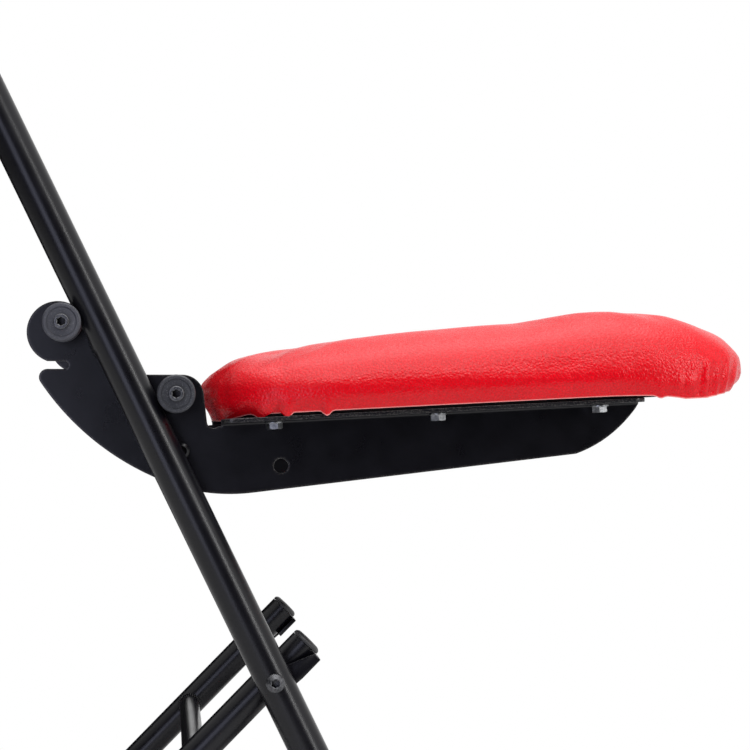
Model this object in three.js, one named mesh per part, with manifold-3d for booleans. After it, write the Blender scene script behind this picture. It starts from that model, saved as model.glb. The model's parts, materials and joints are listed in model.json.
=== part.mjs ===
// Choir chair: a padded seat on two steel side plates that grip a leaning tube frame with grooved discs.
// Lifting the front of the seat frees the discs, so the seat slides to another height or folds up.
// Millimetres and degrees. +X is the way the sitter faces, +Y is the sitter's left, +Z is up.
// The floor is Z = 0.
import * as THREE from "three";
import { mergeVertices } from "three/addons/utils/BufferGeometryUtils.js";
import Module from "manifold-3d";

const wasm = await Module();
wasm.setup();

// Clearances
const seatGap = 0.3; // between pieces that rest on or pass through each other
const overrun = 2; // how far a cutter runs past the material it cuts
const weldDistance = 0.0001; // corners of one mesh that lie closer than this are one corner

// Upright frame: one bent tube makes both front legs, both back posts and the top handle
const tubeRadius = 12.7;
const tubeWall = 1.5;
const tubeHalfSpacing = 181;
const tubeLean = 26;
const gripHeight = 482; // floor to the point of the tube midway between its two grip discs
const topReach = 455; // from that point, along the tube, to the middle of the top handle
const topBendRadius = 60;
const crossbarRise = 136; // from the floor, up the tube, to the front crossbar
const crossbarRadius = 9.5;
const crossbarWall = 1.5;

// Feet
const footWall = 3;
const footFlare = 1.5;
const footCover = 26;
const footPad = 15;

// Backrest
const railRadius = 8;
const railWall = 1.2;
const backCurveRadius = 518;
const railBelowBend = 14; // from the end of the handle's bend down to the upper rail
const railSpacing = 64;
const backBoardHeight = 108;
const backBoardSideGap = 18; // from the board's end to the tube beside it
const backBoardThickness = 8;
const backBoardCorner = 24;
const backPadThickness = 22;
const backPadEdge = 9;
const backPadOverhang = 4;
const backScrewInset = 58; // from the board's end in to its screws
const backScrewRadius = 2.5;
const backScrewHeadRadius = 5;
const backScrewHeadHeight = 2.6;
const backScrewBite = 6; // how deep the screw goes into the board

// Rear legs
const pivotDrop = 220; // height of the grip point above the leg pivot
const rearFootBack = 150; // from the grip point back to where a rear leg meets the floor
const legRadius = 11;
const legWall = 1.5;
const legStub = 32; // from the pivot up to the leg's upper end
const rungRadius = 8;
const rungWall = 1.2;
const upperRungDrop = 78;
const lowerRungRise = 82;
const plugHeight = 4;
const plugDepth = 12;
const plugWall = 2;
const pivotBoltRadius = 4;
const pivotHeadRadius = 6.5;
const pivotHeadHeight = 5;
const pivotNutHeight = 6.5;
const bracketThickness = 3;
const bracketRadius = 13;
const stopTabLength = 18;
const stopTabReach = 21;
const spacerThickness = 1.2;
const spacerRadius = 9;

// Grip discs, their screws and the bars that hold the side plates apart
const discRadius = 13.1;
const discHalfWidth = 13.9;
const discChamfer = 1;
const discRimWidth = 2.7; // flat rim round the dish in each face
const discDishDepth = 0.8;
const discStagger = 38.8; // along the tube from the grip point to each disc
const rearGrooveDepth = 2.75; // how far the tube lies inside the rear disc's rim
const frontGrooveDepth = 0.5;
const screwRadius = 3;
const screwHeadRadius = 5.2;
const screwHeadHeight = 6;
const screwHeadChamfer = 1;
const screwSocketRadius = 2.9;
const screwSocketDepth = 3.4;
const screwThread = 18; // how far a screw reaches into its bar
const axleBarRadius = 8;
const tieBarRadius = 7;
const tieHeadRadius = 5.5;
const tieHeadHeight = 3;
const bushRadius = 5;

// Side plates
const plateThickness = 3;
const lobeRadius = 21.3; // round end behind the tube
const lobeBack = 3.6; // from the rear disc's centre back to the lobe's
const lobeDrop = 6;
const notchWidth = 5.3;
const notchDrop = 22.7; // from the lobe's centre down to the notch
const notchEnd = 7.2; // from the lobe's centre forward to the notch's end
const lipRadius = 5.8; // round tip under the notch
const lipBack = 7; // from the lobe's centre back to the lip's
const sweepRadius = 182.4; // long lower curve, which runs on from the lip
const plateDepth = 96.4; // from the grip point down to the lowest point of that curve
const lowCornerX = 71; // from the grip point forward to where the curve ends
const lowCornerRadius = 22;
const bottomEdgeRise = 6.8;
const noseLength = 44; // from the bottom edge's end forward to the plate's tip
const nosePullX = 26.5;
const nosePullZ = 9.4;
const earRadius = 15; // round end in front of the tube
const earAhead = 4.2; // from the front disc's centre forward to the ear's
const earDrop = 1.5;
const tieScrewBack = 26.8; // from the seat deck's start back to the low screw
const tieScrewDrop = 21.9;
const openHoleRadius = 5;
const openHoleAhead = 41.6;
const openHoleDrop = 32.1;

// Seat deck: the plates' turned-out flanges, tilted up to the front
const deckTilt = 3.04;
const deckAhead = 11.6; // from the ear's front edge forward to the deck's start
const deckDrop = 30.7; // from the ear's top down to the deck's start
const reliefRadius = 4.7; // hole that ends the bend
const reliefBack = 4.9;
const reliefDrop = 1.4;
const flangePastBolt = 30.5;
const flangeReach = 30;
const bendRadius = 2;
const flangeCorner = 8;
const deckBoltStart = 35.8;
const deckBoltSpacing = 113.1;
const deckBoltsPerSide = 3;
const deckBoltRadius = 3;
const boltHeadRadius = 5.8;
const boltHeadHeight = 4;
const washerRadius = 6.4;
const washerThickness = 1.5;
const boardThickness = 12;
const boardRear = 4.5; // from the deck's start forward to the board's rear edge
const boardPastBolt = 68; // from the last bolt forward to the board's front edge
const boardSideMargin = 12.5; // from the bolts out to the board's side edge
const boardCorner = 44;
const nutBarrelRadius = 4;
const nutFlangeRadius = 8.5;
const nutFlangeThickness = 1.2;
const nutDepth = 7;

// Seat pad
const padRearOverhang = 14.5; // past the board's rear edge
const padFrontOverhang = 43;
const padSideOverhang = 8;
const padThickness = 62; // at the raised front
const padSkirtRise = 2; // board edge that shows under the pad
const padWallHeight = 19;
const padRoll = 52; // how far in from the edge the top rounds over
const padDrawIn = 4; // how far the foot of the side wall is pulled in
const padCorner = 38;
const padRearBulge = 5;
const padTopShares = [
  // share of the length, share of the thickness
  [0, 0.68],
  [0.09, 0.74],
  [0.2, 0.81],
  [0.32, 0.86],
  [0.5, 0.915],
  [0.61, 0.93],
  [0.7, 1],
  [0.77, 0.995],
  [0.86, 0.93],
  [1, 0.78],
];

// Facets
const tubeSides = 20;
const boreSides = 12;
const railSides = 14;
const smallSides = 12;
const holeSides = 10;
const bendSteps = 6;
const railSteps = 8;
const grooveSteps = 6;
const arcSteps = 8;
const quarterTurn = Math.PI / 2;
const hexSides = 6;
const cushionSides = 48;
const cushionBack = [0.3, 0.6, 0.85];
const cushionWall = [0, 0.35, 0.75, 1];
const cushionFront = [0.985, 0.95, 0.9, 0.84, 0.76, 0.62, 0.44, 0.22];

// Worked-out sizes
const lean = THREE.MathUtils.degToRad(tubeLean);
const tilt = THREE.MathUtils.degToRad(deckTilt);
const bottomRise = THREE.MathUtils.degToRad(bottomEdgeRise);
const tubeFloorReach = gripHeight / Math.cos(lean);
const crossbarReach = tubeFloorReach - crossbarRise;
const upperRailReach = topReach - topBendRadius - railBelowBend;
const lowerRailReach = upperRailReach - railSpacing;
const pivotReach = pivotDrop / Math.cos(lean);
const pivot = { x: pivotDrop * Math.tan(lean), z: gripHeight - pivotDrop };
const legLean = Math.atan2(pivot.x + rearFootBack, pivot.z);
const legLength = pivot.z / Math.cos(legLean);
const tubeInnerFace = tubeHalfSpacing - tubeRadius;
const bracketInnerFace = tubeInnerFace - seatGap - bracketThickness;
const legOuterFace = bracketInnerFace - seatGap - spacerThickness - seatGap;
const legHalfSpacing = legOuterFace - legRadius;
const legInnerFace = legHalfSpacing - legRadius;
const discInnerFace = tubeHalfSpacing - discHalfWidth;
const plateOuterFace = discInnerFace - 2 * seatGap;
const plateInnerFace = plateOuterFace - plateThickness;
const rearDiscOffset = tubeRadius + discRadius - rearGrooveDepth; // square to the tube, centre to centre
const frontDiscOffset = tubeRadius + discRadius - frontGrooveDepth;
const rearDisc = tubePoint(-rearDiscOffset, discStagger);
const frontDisc = tubePoint(frontDiscOffset, -discStagger);
const lobe = { x: rearDisc.x - lobeBack, z: rearDisc.z - lobeDrop };
const ear = { x: frontDisc.x + earAhead, z: frontDisc.z - earDrop };
const deckStart = { x: ear.x + earRadius + deckAhead, z: ear.z + earRadius - deckDrop };
const relief = { x: deckStart.x - reliefBack, z: deckStart.z - reliefDrop };
const tieHole = { x: deckStart.x - tieScrewBack, z: deckStart.z - tieScrewDrop };
const openHole = { x: deckStart.x + openHoleAhead, z: deckStart.z - openHoleDrop };
const deckBoltY = plateOuterFace + flangeReach / 2;
const lastBolt = deckBoltStart + (deckBoltsPerSide - 1) * deckBoltSpacing;
const flangeLength = lastBolt + flangePastBolt;
const noseX = deckStart.x + flangeLength * Math.cos(tilt);
const boardLength = lastBolt + boardPastBolt - boardRear;
const boardHalfWidth = deckBoltY + boardSideMargin;
const padRear = boardRear - padRearOverhang;
const padLength = boardLength + padRearOverhang + padFrontOverhang;
const padHalfWidth = boardHalfWidth + padSideOverhang;

// A place beside the tube, as x forward and z up from the grip point.
function tubePoint(offset, reach) {
  return {
    x: offset * Math.cos(lean) - reach * Math.sin(lean),
    z: offset * Math.sin(lean) + reach * Math.cos(lean),
  };
}

// Materials
function material(color, roughness, metalness) {
  return new THREE.MeshStandardMaterial({ color, roughness, metalness });
}
const blackPaint = material(0x15161a, 0.32, 0.6);
const blackPlastic = material(0x1b1b1d, 0.6, 0);
const blackRubber = material(0x18181a, 0.85, 0);
const discPlastic = material(0x2a2b2f, 0.55, 0);
const blackScrew = material(0x26262a, 0.4, 0.8);
const zinc = material(0xb9bbbf, 0.3, 0.9);
const blackBoard = material(0x141414, 0.8, 0);
const redLeather = material(0xd2001c, 0.42, 0);
const paleNylon = material(0xd8d6cc, 0.6, 0);

// Solids

// The closed solid of a three.js geometry, ready to be joined or cut.
function solid(geometry) {
  const bare = new THREE.BufferGeometry();
  bare.setAttribute("position", geometry.getAttribute("position"));
  if (geometry.index) bare.setIndex(geometry.index);
  const merged = mergeVertices(bare, weldDistance);
  return new wasm.Manifold(
    new wasm.Mesh({
      numProp: 3,
      vertProperties: new Float32Array(merged.getAttribute("position").array),
      triVerts: new Uint32Array(merged.index.array),
    }),
  );
}

// A flat-shaded three.js geometry of a solid.
function geometryOf(body) {
  const mesh = body.getMesh();
  const indexed = new THREE.BufferGeometry();
  indexed.setAttribute("position", new THREE.BufferAttribute(new Float32Array(mesh.vertProperties), 3));
  indexed.setIndex(new THREE.BufferAttribute(new Uint32Array(mesh.triVerts), 1));
  const flat = indexed.toNonIndexed();
  flat.computeVertexNormals();
  return flat;
}

// Cuts each cutter out of a geometry.
function cut(geometry, ...cutters) {
  let body = solid(geometry);
  for (const cutter of cutters) body = body.subtract(solid(cutter));
  return geometryOf(body);
}

function join(...pieces) {
  let body = solid(pieces[0]);
  for (const piece of pieces.slice(1)) body = body.add(solid(piece));
  return geometryOf(body);
}

function common(first, second) {
  return geometryOf(solid(first).intersect(solid(second)));
}

// Turns a profile of [radius, place] pairs round the Y axis.
function turned(profile, sides = smallSides) {
  return new THREE.LatheGeometry(
    profile.map(([radius, place]) => new THREE.Vector2(radius, place)),
    sides,
  );
}

// A round bar along Y, centred on the origin.
function rod(radius, length, sides = smallSides) {
  return new THREE.CylinderGeometry(radius, radius, length, sides);
}

function standUp(geometry) {
  return geometry.rotateX(quarterTurn);
}

function moved(geometry, to) {
  return geometry.translate(to.x, 0, to.z);
}

// Points of a regular polygon whose corners lie on a circle.
function polygon(radius, sides) {
  return Array.from({ length: sides }, (_, side) => {
    const turn = (2 * Math.PI * side) / sides;
    return new THREE.Vector2(radius * Math.cos(turn), radius * Math.sin(turn));
  });
}

// A tube's section, with its bore.
function ring(radius, wall, sides) {
  const shape = new THREE.Shape(polygon(radius, sides));
  shape.holes.push(new THREE.Path(polygon(radius - wall, boreSides).reverse()));
  return shape;
}

// A straight tube along Y, centred on the origin.
function pipe(radius, wall, length) {
  const section = ring(radius, wall, tubeSides);
  const geometry = new THREE.ExtrudeGeometry(section, { depth: length, bevelEnabled: false });
  return geometry.translate(0, 0, -length / 2).rotateX(-quarterTurn);
}

// A path through chosen stations, so that straight runs take one step and bends take several.
class StationPath extends THREE.Curve {
  constructor(stations) {
    super();
    this.stations = stations;
  }
  at(u) {
    return this.stations[Math.round(u * (this.stations.length - 1))];
  }
  getPointAt(u) {
    return this.at(u).point.clone();
  }
  getTangentAt(u) {
    return this.at(u).heading.clone();
  }
}

function bentPipe(radius, wall, stations, sides) {
  return new THREE.ExtrudeGeometry(ring(radius, wall, sides), {
    steps: stations.length - 1,
    extrudePath: new StationPath(stations),
    bevelEnabled: false,
  });
}

// A flat plate whose outline lies in X and Z, from y = inner to y = inner + thickness.
function sheet(outline, inner, thickness) {
  const geometry = new THREE.ExtrudeGeometry(outline, {
    depth: thickness,
    bevelEnabled: false,
    curveSegments: arcSteps,
  });
  return geometry.rotateX(quarterTurn).translate(0, inner + thickness, 0);
}

function roundedRectangle(x, y, width, height, corner) {
  const shape = new THREE.Shape();
  shape.moveTo(x + corner, y);
  shape.lineTo(x + width - corner, y);
  shape.absarc(x + width - corner, y + corner, corner, -quarterTurn, 0, false);
  shape.lineTo(x + width, y + height - corner);
  shape.absarc(x + width - corner, y + height - corner, corner, 0, quarterTurn, false);
  shape.lineTo(x + corner, y + height);
  shape.absarc(x + corner, y + height - corner, corner, quarterTurn, 2 * quarterTurn, false);
  shape.lineTo(x, y + corner);
  shape.absarc(x + corner, y + corner, corner, 2 * quarterTurn, 3 * quarterTurn, false);
  return shape;
}

// Groups: each is the frame that its pieces are drawn in
const chair = new THREE.Group();
const tubeGroup = new THREE.Group(); // z runs up the tube, x square to it and forward
tubeGroup.position.set(0, 0, gripHeight);
tubeGroup.rotation.y = -lean;
const legGroup = new THREE.Group(); // origin at the leg pivot, z up the leg
legGroup.position.set(pivot.x, 0, pivot.z);
legGroup.rotation.y = legLean;
const seatGroup = new THREE.Group(); // origin at the grip point
seatGroup.position.set(0, 0, gripHeight);
const deckGroup = new THREE.Group(); // x runs forward along the seat deck, z square to it
deckGroup.position.set(deckStart.x, 0, deckStart.z);
deckGroup.rotation.y = -tilt;
seatGroup.add(deckGroup);
chair.add(tubeGroup, legGroup, seatGroup);
chair.updateMatrixWorld(true);

function add(group, name, geometry, finish) {
  const mesh = new THREE.Mesh(geometry, finish);
  mesh.name = name;
  group.add(mesh);
  return mesh;
}

// Adds a left piece as drawn and its mirror image on the right.
function addPair(group, name, geometry, finish) {
  add(group, name + "_left", geometry, finish);
  add(group, name + "_right", geometry, finish).scale.y = -1;
}

// The part of a foot that would lie under the floor, in the group's own frame.
function belowFloor(group, size) {
  const block = new THREE.BoxGeometry(size, size, size);
  const foot = new THREE.Vector3(0, 0, 0);
  group.getWorldPosition(foot);
  const reach = group === tubeGroup ? foot.z * Math.tan(lean) : -foot.z * Math.tan(legLean);
  block.translate(foot.x + reach, 0, -size / 2);
  return block.applyMatrix4(group.matrixWorld.clone().invert());
}

// Upright frame
function uprightStations() {
  const stations = [];
  const down = -tubeFloorReach + footPad;
  const bendZ = topReach - topBendRadius;
  const bendY = tubeHalfSpacing - topBendRadius;
  stations.push({
    point: new THREE.Vector3(0, tubeHalfSpacing, down),
    heading: new THREE.Vector3(0, 0, 1),
  });
  for (const side of [1, -1]) {
    for (let step = 0; step <= bendSteps; step++) {
      const turn = (quarterTurn * (side > 0 ? step : bendSteps - step)) / bendSteps;
      stations.push({
        point: new THREE.Vector3(
          0,
          side * (bendY + topBendRadius * Math.cos(turn)),
          bendZ + topBendRadius * Math.sin(turn),
        ),
        heading: new THREE.Vector3(0, -Math.sin(turn), side * Math.cos(turn)),
      });
    }
  }
  stations.push({
    point: new THREE.Vector3(0, -tubeHalfSpacing, down),
    heading: new THREE.Vector3(0, 0, -1),
  });
  return stations;
}

function uprightTube() {
  const tube = bentPipe(tubeRadius, tubeWall, uprightStations(), tubeSides);
  const boltHole = rod(pivotBoltRadius + seatGap, 2 * (tubeHalfSpacing + tubeRadius + overrun), holeSides);
  return cut(tube, boltHole.translate(0, 0, -pivotReach));
}

// Cylinders round both tubes of a pair, to cope the end of a cross tube that is welded to them.
function copeCutters(halfSpacing, radius, length, z) {
  return [1, -1].map((side) =>
    standUp(rod(radius + seatGap, length, tubeSides)).translate(0, side * halfSpacing, z),
  );
}

function crossTube(radius, wall, halfSpacing, postRadius, z) {
  const bar = pipe(radius, wall, 2 * halfSpacing).translate(0, 0, z);
  return cut(bar, ...copeCutters(halfSpacing, postRadius, 2 * (radius + overrun), z));
}

// A cup of rubber over a tube's end, cut level with the floor.
function foot(group, radius, reach, angle) {
  const outer = radius + footWall;
  const inner = radius + seatGap;
  const end = -reach + footPad;
  const drop = (outer + footFlare) * Math.tan(angle) + overrun;
  const cup = turned([
    [0, -reach - drop],
    [outer + footFlare, -reach - drop],
    [outer + footFlare, end],
    [outer, end + footCover / 2],
    [outer, end + footCover - footWall / 2],
    [outer - footWall / 2, end + footCover],
    [inner, end + footCover],
    [inner, end - seatGap],
    [0, end - seatGap],
  ], tubeSides);
  return cut(standUp(cup), belowFloor(group, 2 * (outer + footFlare) + 2 * drop + footPad));
}

// Backrest: rails, board and pad are arcs about one upright line in front of the sitter
const railSpan = Math.asin(tubeHalfSpacing / backCurveRadius);
const backCentre = backCurveRadius * Math.cos(railSpan);
const backBoardHalfWidth = tubeInnerFace - backBoardSideGap;
const backScrewHalfSpacing = backBoardHalfWidth - backScrewInset;
const boardBackRadius = backCurveRadius * Math.cos(railSpan / railSteps) - railRadius - seatGap;
const boardFrontRadius = boardBackRadius - backBoardThickness;
const padBackRadius = boardFrontRadius - seatGap;

function railStations(z) {
  const stations = [];
  for (let step = 0; step <= railSteps; step++) {
    const turn = railSpan * ((2 * step) / railSteps - 1);
    stations.push({
      point: new THREE.Vector3(
        backCentre - backCurveRadius * Math.cos(turn),
        backCurveRadius * Math.sin(turn),
        z,
      ),
      heading: new THREE.Vector3(Math.sin(turn), Math.cos(turn), 0),
    });
  }
  return stations;
}

const screwTurn = Math.asin(backScrewHalfSpacing / backCurveRadius);
const backScrewGrip = backScrewBite + 2 * railRadius + 2 * seatGap;

// Points forward along x from behind the rail at the origin's height, then turns to one screw's place.
function toBackScrew(geometry, side, z) {
  return geometry
    .rotateZ(-quarterTurn)
    .translate(-backCurveRadius, 0, 0)
    .rotateZ(-side * screwTurn)
    .translate(backCentre, 0, z);
}

function backScrew() {
  const back = -railRadius - seatGap;
  return turned([
    [0, back - backScrewHeadHeight],
    [backScrewHeadRadius / 2, back - backScrewHeadHeight],
    [backScrewHeadRadius, back - backScrewHeadHeight / 3],
    [backScrewHeadRadius, back],
    [backScrewRadius, back],
    [backScrewRadius, back + backScrewGrip],
    [0, back + backScrewGrip],
  ]);
}

function backScrewHole(side, z) {
  const length = 2 * (railRadius + backScrewBite + overrun);
  return toBackScrew(rod(backScrewRadius + seatGap, length, holeSides), side, z);
}

function backRail(z) {
  return cut(
    bentPipe(railRadius, railWall, railStations(z), railSides),
    ...copeCutters(tubeHalfSpacing, tubeRadius, 2 * (railRadius + overrun), z),
    backScrewHole(1, z),
    backScrewHole(-1, z),
  );
}

// A slab between two arcs about the back's centre line, from one height to another.
function curvedSlab(outer, inner, halfWidth, low, high) {
  const outerSpan = Math.asin(halfWidth / outer);
  const innerSpan = Math.asin(halfWidth / inner);
  const shape = new THREE.Shape();
  shape.absarc(backCentre, 0, outer, Math.PI - outerSpan, Math.PI + outerSpan, false);
  shape.absarc(backCentre, 0, inner, Math.PI + innerSpan, Math.PI - innerSpan, true);
  const slab = new THREE.ExtrudeGeometry(shape, {
    depth: high - low,
    bevelEnabled: false,
    curveSegments: 2 * arcSteps,
  });
  return slab.translate(0, 0, low);
}

const boardLow = lowerRailReach + railSpacing / 2 - backBoardHeight / 2;

function backBoard() {
  const slab = curvedSlab(
    boardBackRadius,
    boardFrontRadius,
    backBoardHalfWidth + overrun,
    boardLow - overrun,
    boardLow + backBoardHeight + overrun,
  );
  const face = new THREE.ExtrudeGeometry(
    roundedRectangle(-backBoardHalfWidth, boardLow, 2 * backBoardHalfWidth, backBoardHeight, backBoardCorner),
    { depth: 2 * backCurveRadius, bevelEnabled: false, curveSegments: arcSteps / 2 },
  );
  const outline = face.rotateX(quarterTurn).rotateZ(quarterTurn).translate(-backCurveRadius, 0, 0);
  const holes = [];
  for (const z of [lowerRailReach, upperRailReach])
    for (const side of [1, -1]) holes.push(backScrewHole(side, z));
  return cut(common(slab, outline), ...holes);
}

// A closed cushion skin made of rings that shrink towards the middle of its outline.
// pointAt(turn, share, level): turn round the outline, share from middle to edge, level from back to front.
function cushion(pointAt) {
  const around = cushionSides;
  const points = [];
  const rings = [
    ...cushionBack.map((share) => [share, 0]),
    ...cushionWall.map((level) => [1, level]),
    ...cushionFront.map((share) => [share, 1]),
  ];
  for (const [share, level] of rings)
    for (let step = 0; step < around; step++)
      points.push(...pointAt((2 * Math.PI * step) / around, share, level).toArray());
  const bottom = points.length / 3;
  points.push(...pointAt(0, 0, 0).toArray());
  points.push(...pointAt(0, 0, 1).toArray());
  const faces = [];
  for (let step = 0; step < around; step++) {
    const next = (step + 1) % around;
    faces.push(bottom, next, step);
    for (let row = 0; row < rings.length - 1; row++) {
      const low = row * around;
      const high = low + around;
      faces.push(low + step, low + next, high + next, low + step, high + next, high + step);
    }
    const last = (rings.length - 1) * around;
    faces.push(last + step, last + next, bottom + 1);
  }
  const geometry = new THREE.BufferGeometry();
  geometry.setAttribute("position", new THREE.Float32BufferAttribute(points, 3));
  geometry.setIndex(faces);
  return geometry;
}

// The edge of a rounded rectangle in direction turn, as a distance from its middle.
function outlineReach(turn, halfX, halfY, corner) {
  const squareness = 2 + Math.min(halfX, halfY) / corner;
  const x = Math.abs(Math.cos(turn)) / halfX;
  const y = Math.abs(Math.sin(turn)) / halfY;
  return 1 / Math.pow(Math.pow(x, squareness) + Math.pow(y, squareness), 1 / squareness);
}

function backPad() {
  const halfHeight = backBoardHeight / 2 + backPadOverhang;
  const halfWidth = backBoardHalfWidth + backPadOverhang;
  const middle = boardLow + backBoardHeight / 2;
  return cushion((turn, share, level) => {
    const reach = outlineReach(turn, halfWidth, halfHeight, backBoardCorner);
    const across = share * reach * Math.cos(turn);
    const up = share * reach * Math.sin(turn);
    const inward = Math.min(1, ((1 - share) * reach) / (halfHeight - backPadEdge));
    const crown = backPadEdge + (backPadThickness - backPadEdge) * Math.sqrt(1 - (1 - inward) ** 2);
    const radius = padBackRadius - level * crown;
    const bend = Math.asin(across / padBackRadius);
    return new THREE.Vector3(backCentre - radius * Math.cos(bend), radius * Math.sin(bend), middle + up);
  });
}

// Rear legs
function rearLeg() {
  const length = legLength - footPad + legStub;
  const tube = standUp(pipe(legRadius, legWall, length)).translate(0, 0, legStub - length / 2);
  const boltHole = rod(pivotBoltRadius + seatGap, 2 * (legRadius + overrun), holeSides);
  return cut(tube, boltHole).translate(0, legHalfSpacing, 0);
}

function legPlug() {
  const bore = legRadius - legWall - 2 * seatGap;
  const top = legStub + seatGap;
  const cap = turned([
    [bore - plugWall, top - plugDepth],
    [bore, top - plugDepth],
    [bore, top],
    [legRadius, top],
    [legRadius, top + plugHeight / 2],
    [legRadius - plugWall, top + plugHeight],
    [0, top + plugHeight],
    [0, top],
    [bore - plugWall, top],
    [bore - plugWall, top - plugDepth],
  ]);
  return standUp(cap).translate(0, legHalfSpacing, 0);
}

// A plate welded to the tube at the pivot. Its tab turns in beside the leg's stub and stops it there.
function legBracket() {
  const tabX = legRadius + seatGap;
  const tabLow = legStub - stopTabLength;
  const outline = new THREE.Shape();
  outline.absarc(0, 0, bracketRadius, quarterTurn, 2 * Math.PI, false);
  outline.lineTo(tabX + bracketThickness, tabLow);
  outline.lineTo(tabX + bracketThickness, legStub);
  outline.lineTo(tabX - bracketThickness, legStub);
  outline.lineTo(0, bracketRadius);
  const flat = sheet(outline, bracketInnerFace, bracketThickness);
  const tab = new THREE.BoxGeometry(bracketThickness, stopTabReach + bracketThickness, stopTabLength);
  tab.translate(
    tabX + bracketThickness / 2,
    bracketInnerFace + bracketThickness - (stopTabReach + bracketThickness) / 2,
    tabLow + stopTabLength / 2,
  );
  const hole = rod(pivotBoltRadius + seatGap, 2 * (bracketInnerFace + bracketThickness + overrun), holeSides);
  return cut(join(flat, tab), hole);
}

function pivotBolt() {
  const outer = tubeHalfSpacing + tubeRadius + seatGap;
  const inner = legInnerFace - 2 * seatGap - pivotNutHeight;
  return turned([
    [0, inner],
    [pivotBoltRadius, inner],
    [pivotBoltRadius, outer],
    [pivotHeadRadius, outer],
    [pivotHeadRadius, outer + pivotHeadHeight / 2],
    [pivotHeadRadius / 2, outer + pivotHeadHeight],
    [0, outer + pivotHeadHeight],
  ]);
}

function pivotNut() {
  const nut = rod(pivotHeadRadius + 2 * seatGap, pivotNutHeight, hexSides);
  const hole = rod(pivotBoltRadius + seatGap, pivotNutHeight + 2 * overrun, holeSides);
  return cut(nut, hole).translate(0, legInnerFace - seatGap - pivotNutHeight / 2, 0);
}

function pivotSpacer() {
  const low = legOuterFace + seatGap;
  return turned([
    [pivotBoltRadius + seatGap, low],
    [spacerRadius, low],
    [spacerRadius, low + spacerThickness],
    [pivotBoltRadius + seatGap, low + spacerThickness],
    [pivotBoltRadius + seatGap, low],
  ]);
}

// Grip disc: its groove fits round the tube, which passes beside it at the given offset
function gripDisc(offset) {
  const groove = tubeRadius + seatGap;
  const rimY = Math.sqrt(groove ** 2 - (offset - discRadius) ** 2);
  const bore = screwRadius + seatGap;
  const profile = [
    [bore, -discHalfWidth],
    [discRadius - discChamfer, -discHalfWidth],
    [discRadius, -discHalfWidth + discChamfer],
  ];
  for (let step = 0; step <= grooveSteps; step++) {
    const y = rimY * ((2 * step) / grooveSteps - 1);
    profile.push([offset - Math.sqrt(groove ** 2 - y ** 2), y]);
  }
  profile.push(
    [discRadius, discHalfWidth - discChamfer],
    [discRadius - discChamfer, discHalfWidth],
    [discRadius - discRimWidth, discHalfWidth],
    [discRadius - discRimWidth - discDishDepth, discHalfWidth - discDishDepth],
    [bore, discHalfWidth - discDishDepth],
    [bore, -discHalfWidth],
  );
  return turned(profile, tubeSides).translate(0, tubeHalfSpacing, 0);
}

const discFace = tubeHalfSpacing + discHalfWidth - discDishDepth;
const barHalfLength = plateInnerFace - seatGap;

// Socket-head screw whose head rests on a face at y = seat, with its tip in a bar's end.
function socketScrew(seat) {
  const under = seat + seatGap;
  const top = under + screwHeadHeight;
  return turned([
    [0, barHalfLength - screwThread],
    [screwRadius, barHalfLength - screwThread],
    [screwRadius, under],
    [screwHeadRadius, under],
    [screwHeadRadius, top - screwHeadChamfer],
    [screwHeadRadius - screwHeadChamfer, top],
    [screwSocketRadius, top],
    [screwSocketRadius, top - screwSocketDepth],
    [0, top - screwSocketDepth],
  ]);
}

function domeScrew(seat) {
  const under = seat + seatGap;
  return turned([
    [0, barHalfLength - screwThread],
    [screwRadius, barHalfLength - screwThread],
    [screwRadius, under],
    [tieHeadRadius, under],
    [tieHeadRadius - tieHeadHeight / 4, under + tieHeadHeight / 2],
    [tieHeadRadius / 2, under + tieHeadHeight],
    [0, under + tieHeadHeight],
  ]);
}

// A bar between the side plates, with a threaded hole in each end.
function spacerBar(radius) {
  const depth = screwThread + overrun;
  const holes = [1, -1].map((side) =>
    rod(screwRadius + seatGap, 2 * depth, holeSides).translate(0, side * barHalfLength, 0),
  );
  return cut(rod(radius, 2 * barHalfLength), ...holes);
}

// Lets the side plate turn on the rear screw while the disc is clamped.
function plateBush() {
  const low = plateInnerFace;
  const high = discInnerFace - seatGap;
  return turned([
    [screwRadius + seatGap, low],
    [bushRadius, low],
    [bushRadius, high],
    [screwRadius + seatGap, high],
    [screwRadius + seatGap, low],
  ]);
}

// Side plate
function deckHeight(x) {
  return deckStart.z + (x - deckStart.x) * Math.tan(tilt);
}

function hole(shape, at, radius) {
  const path = new THREE.Path();
  path.absarc(at.x, at.z, radius, 0, 2 * Math.PI, true);
  shape.holes.push(path);
}

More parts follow.
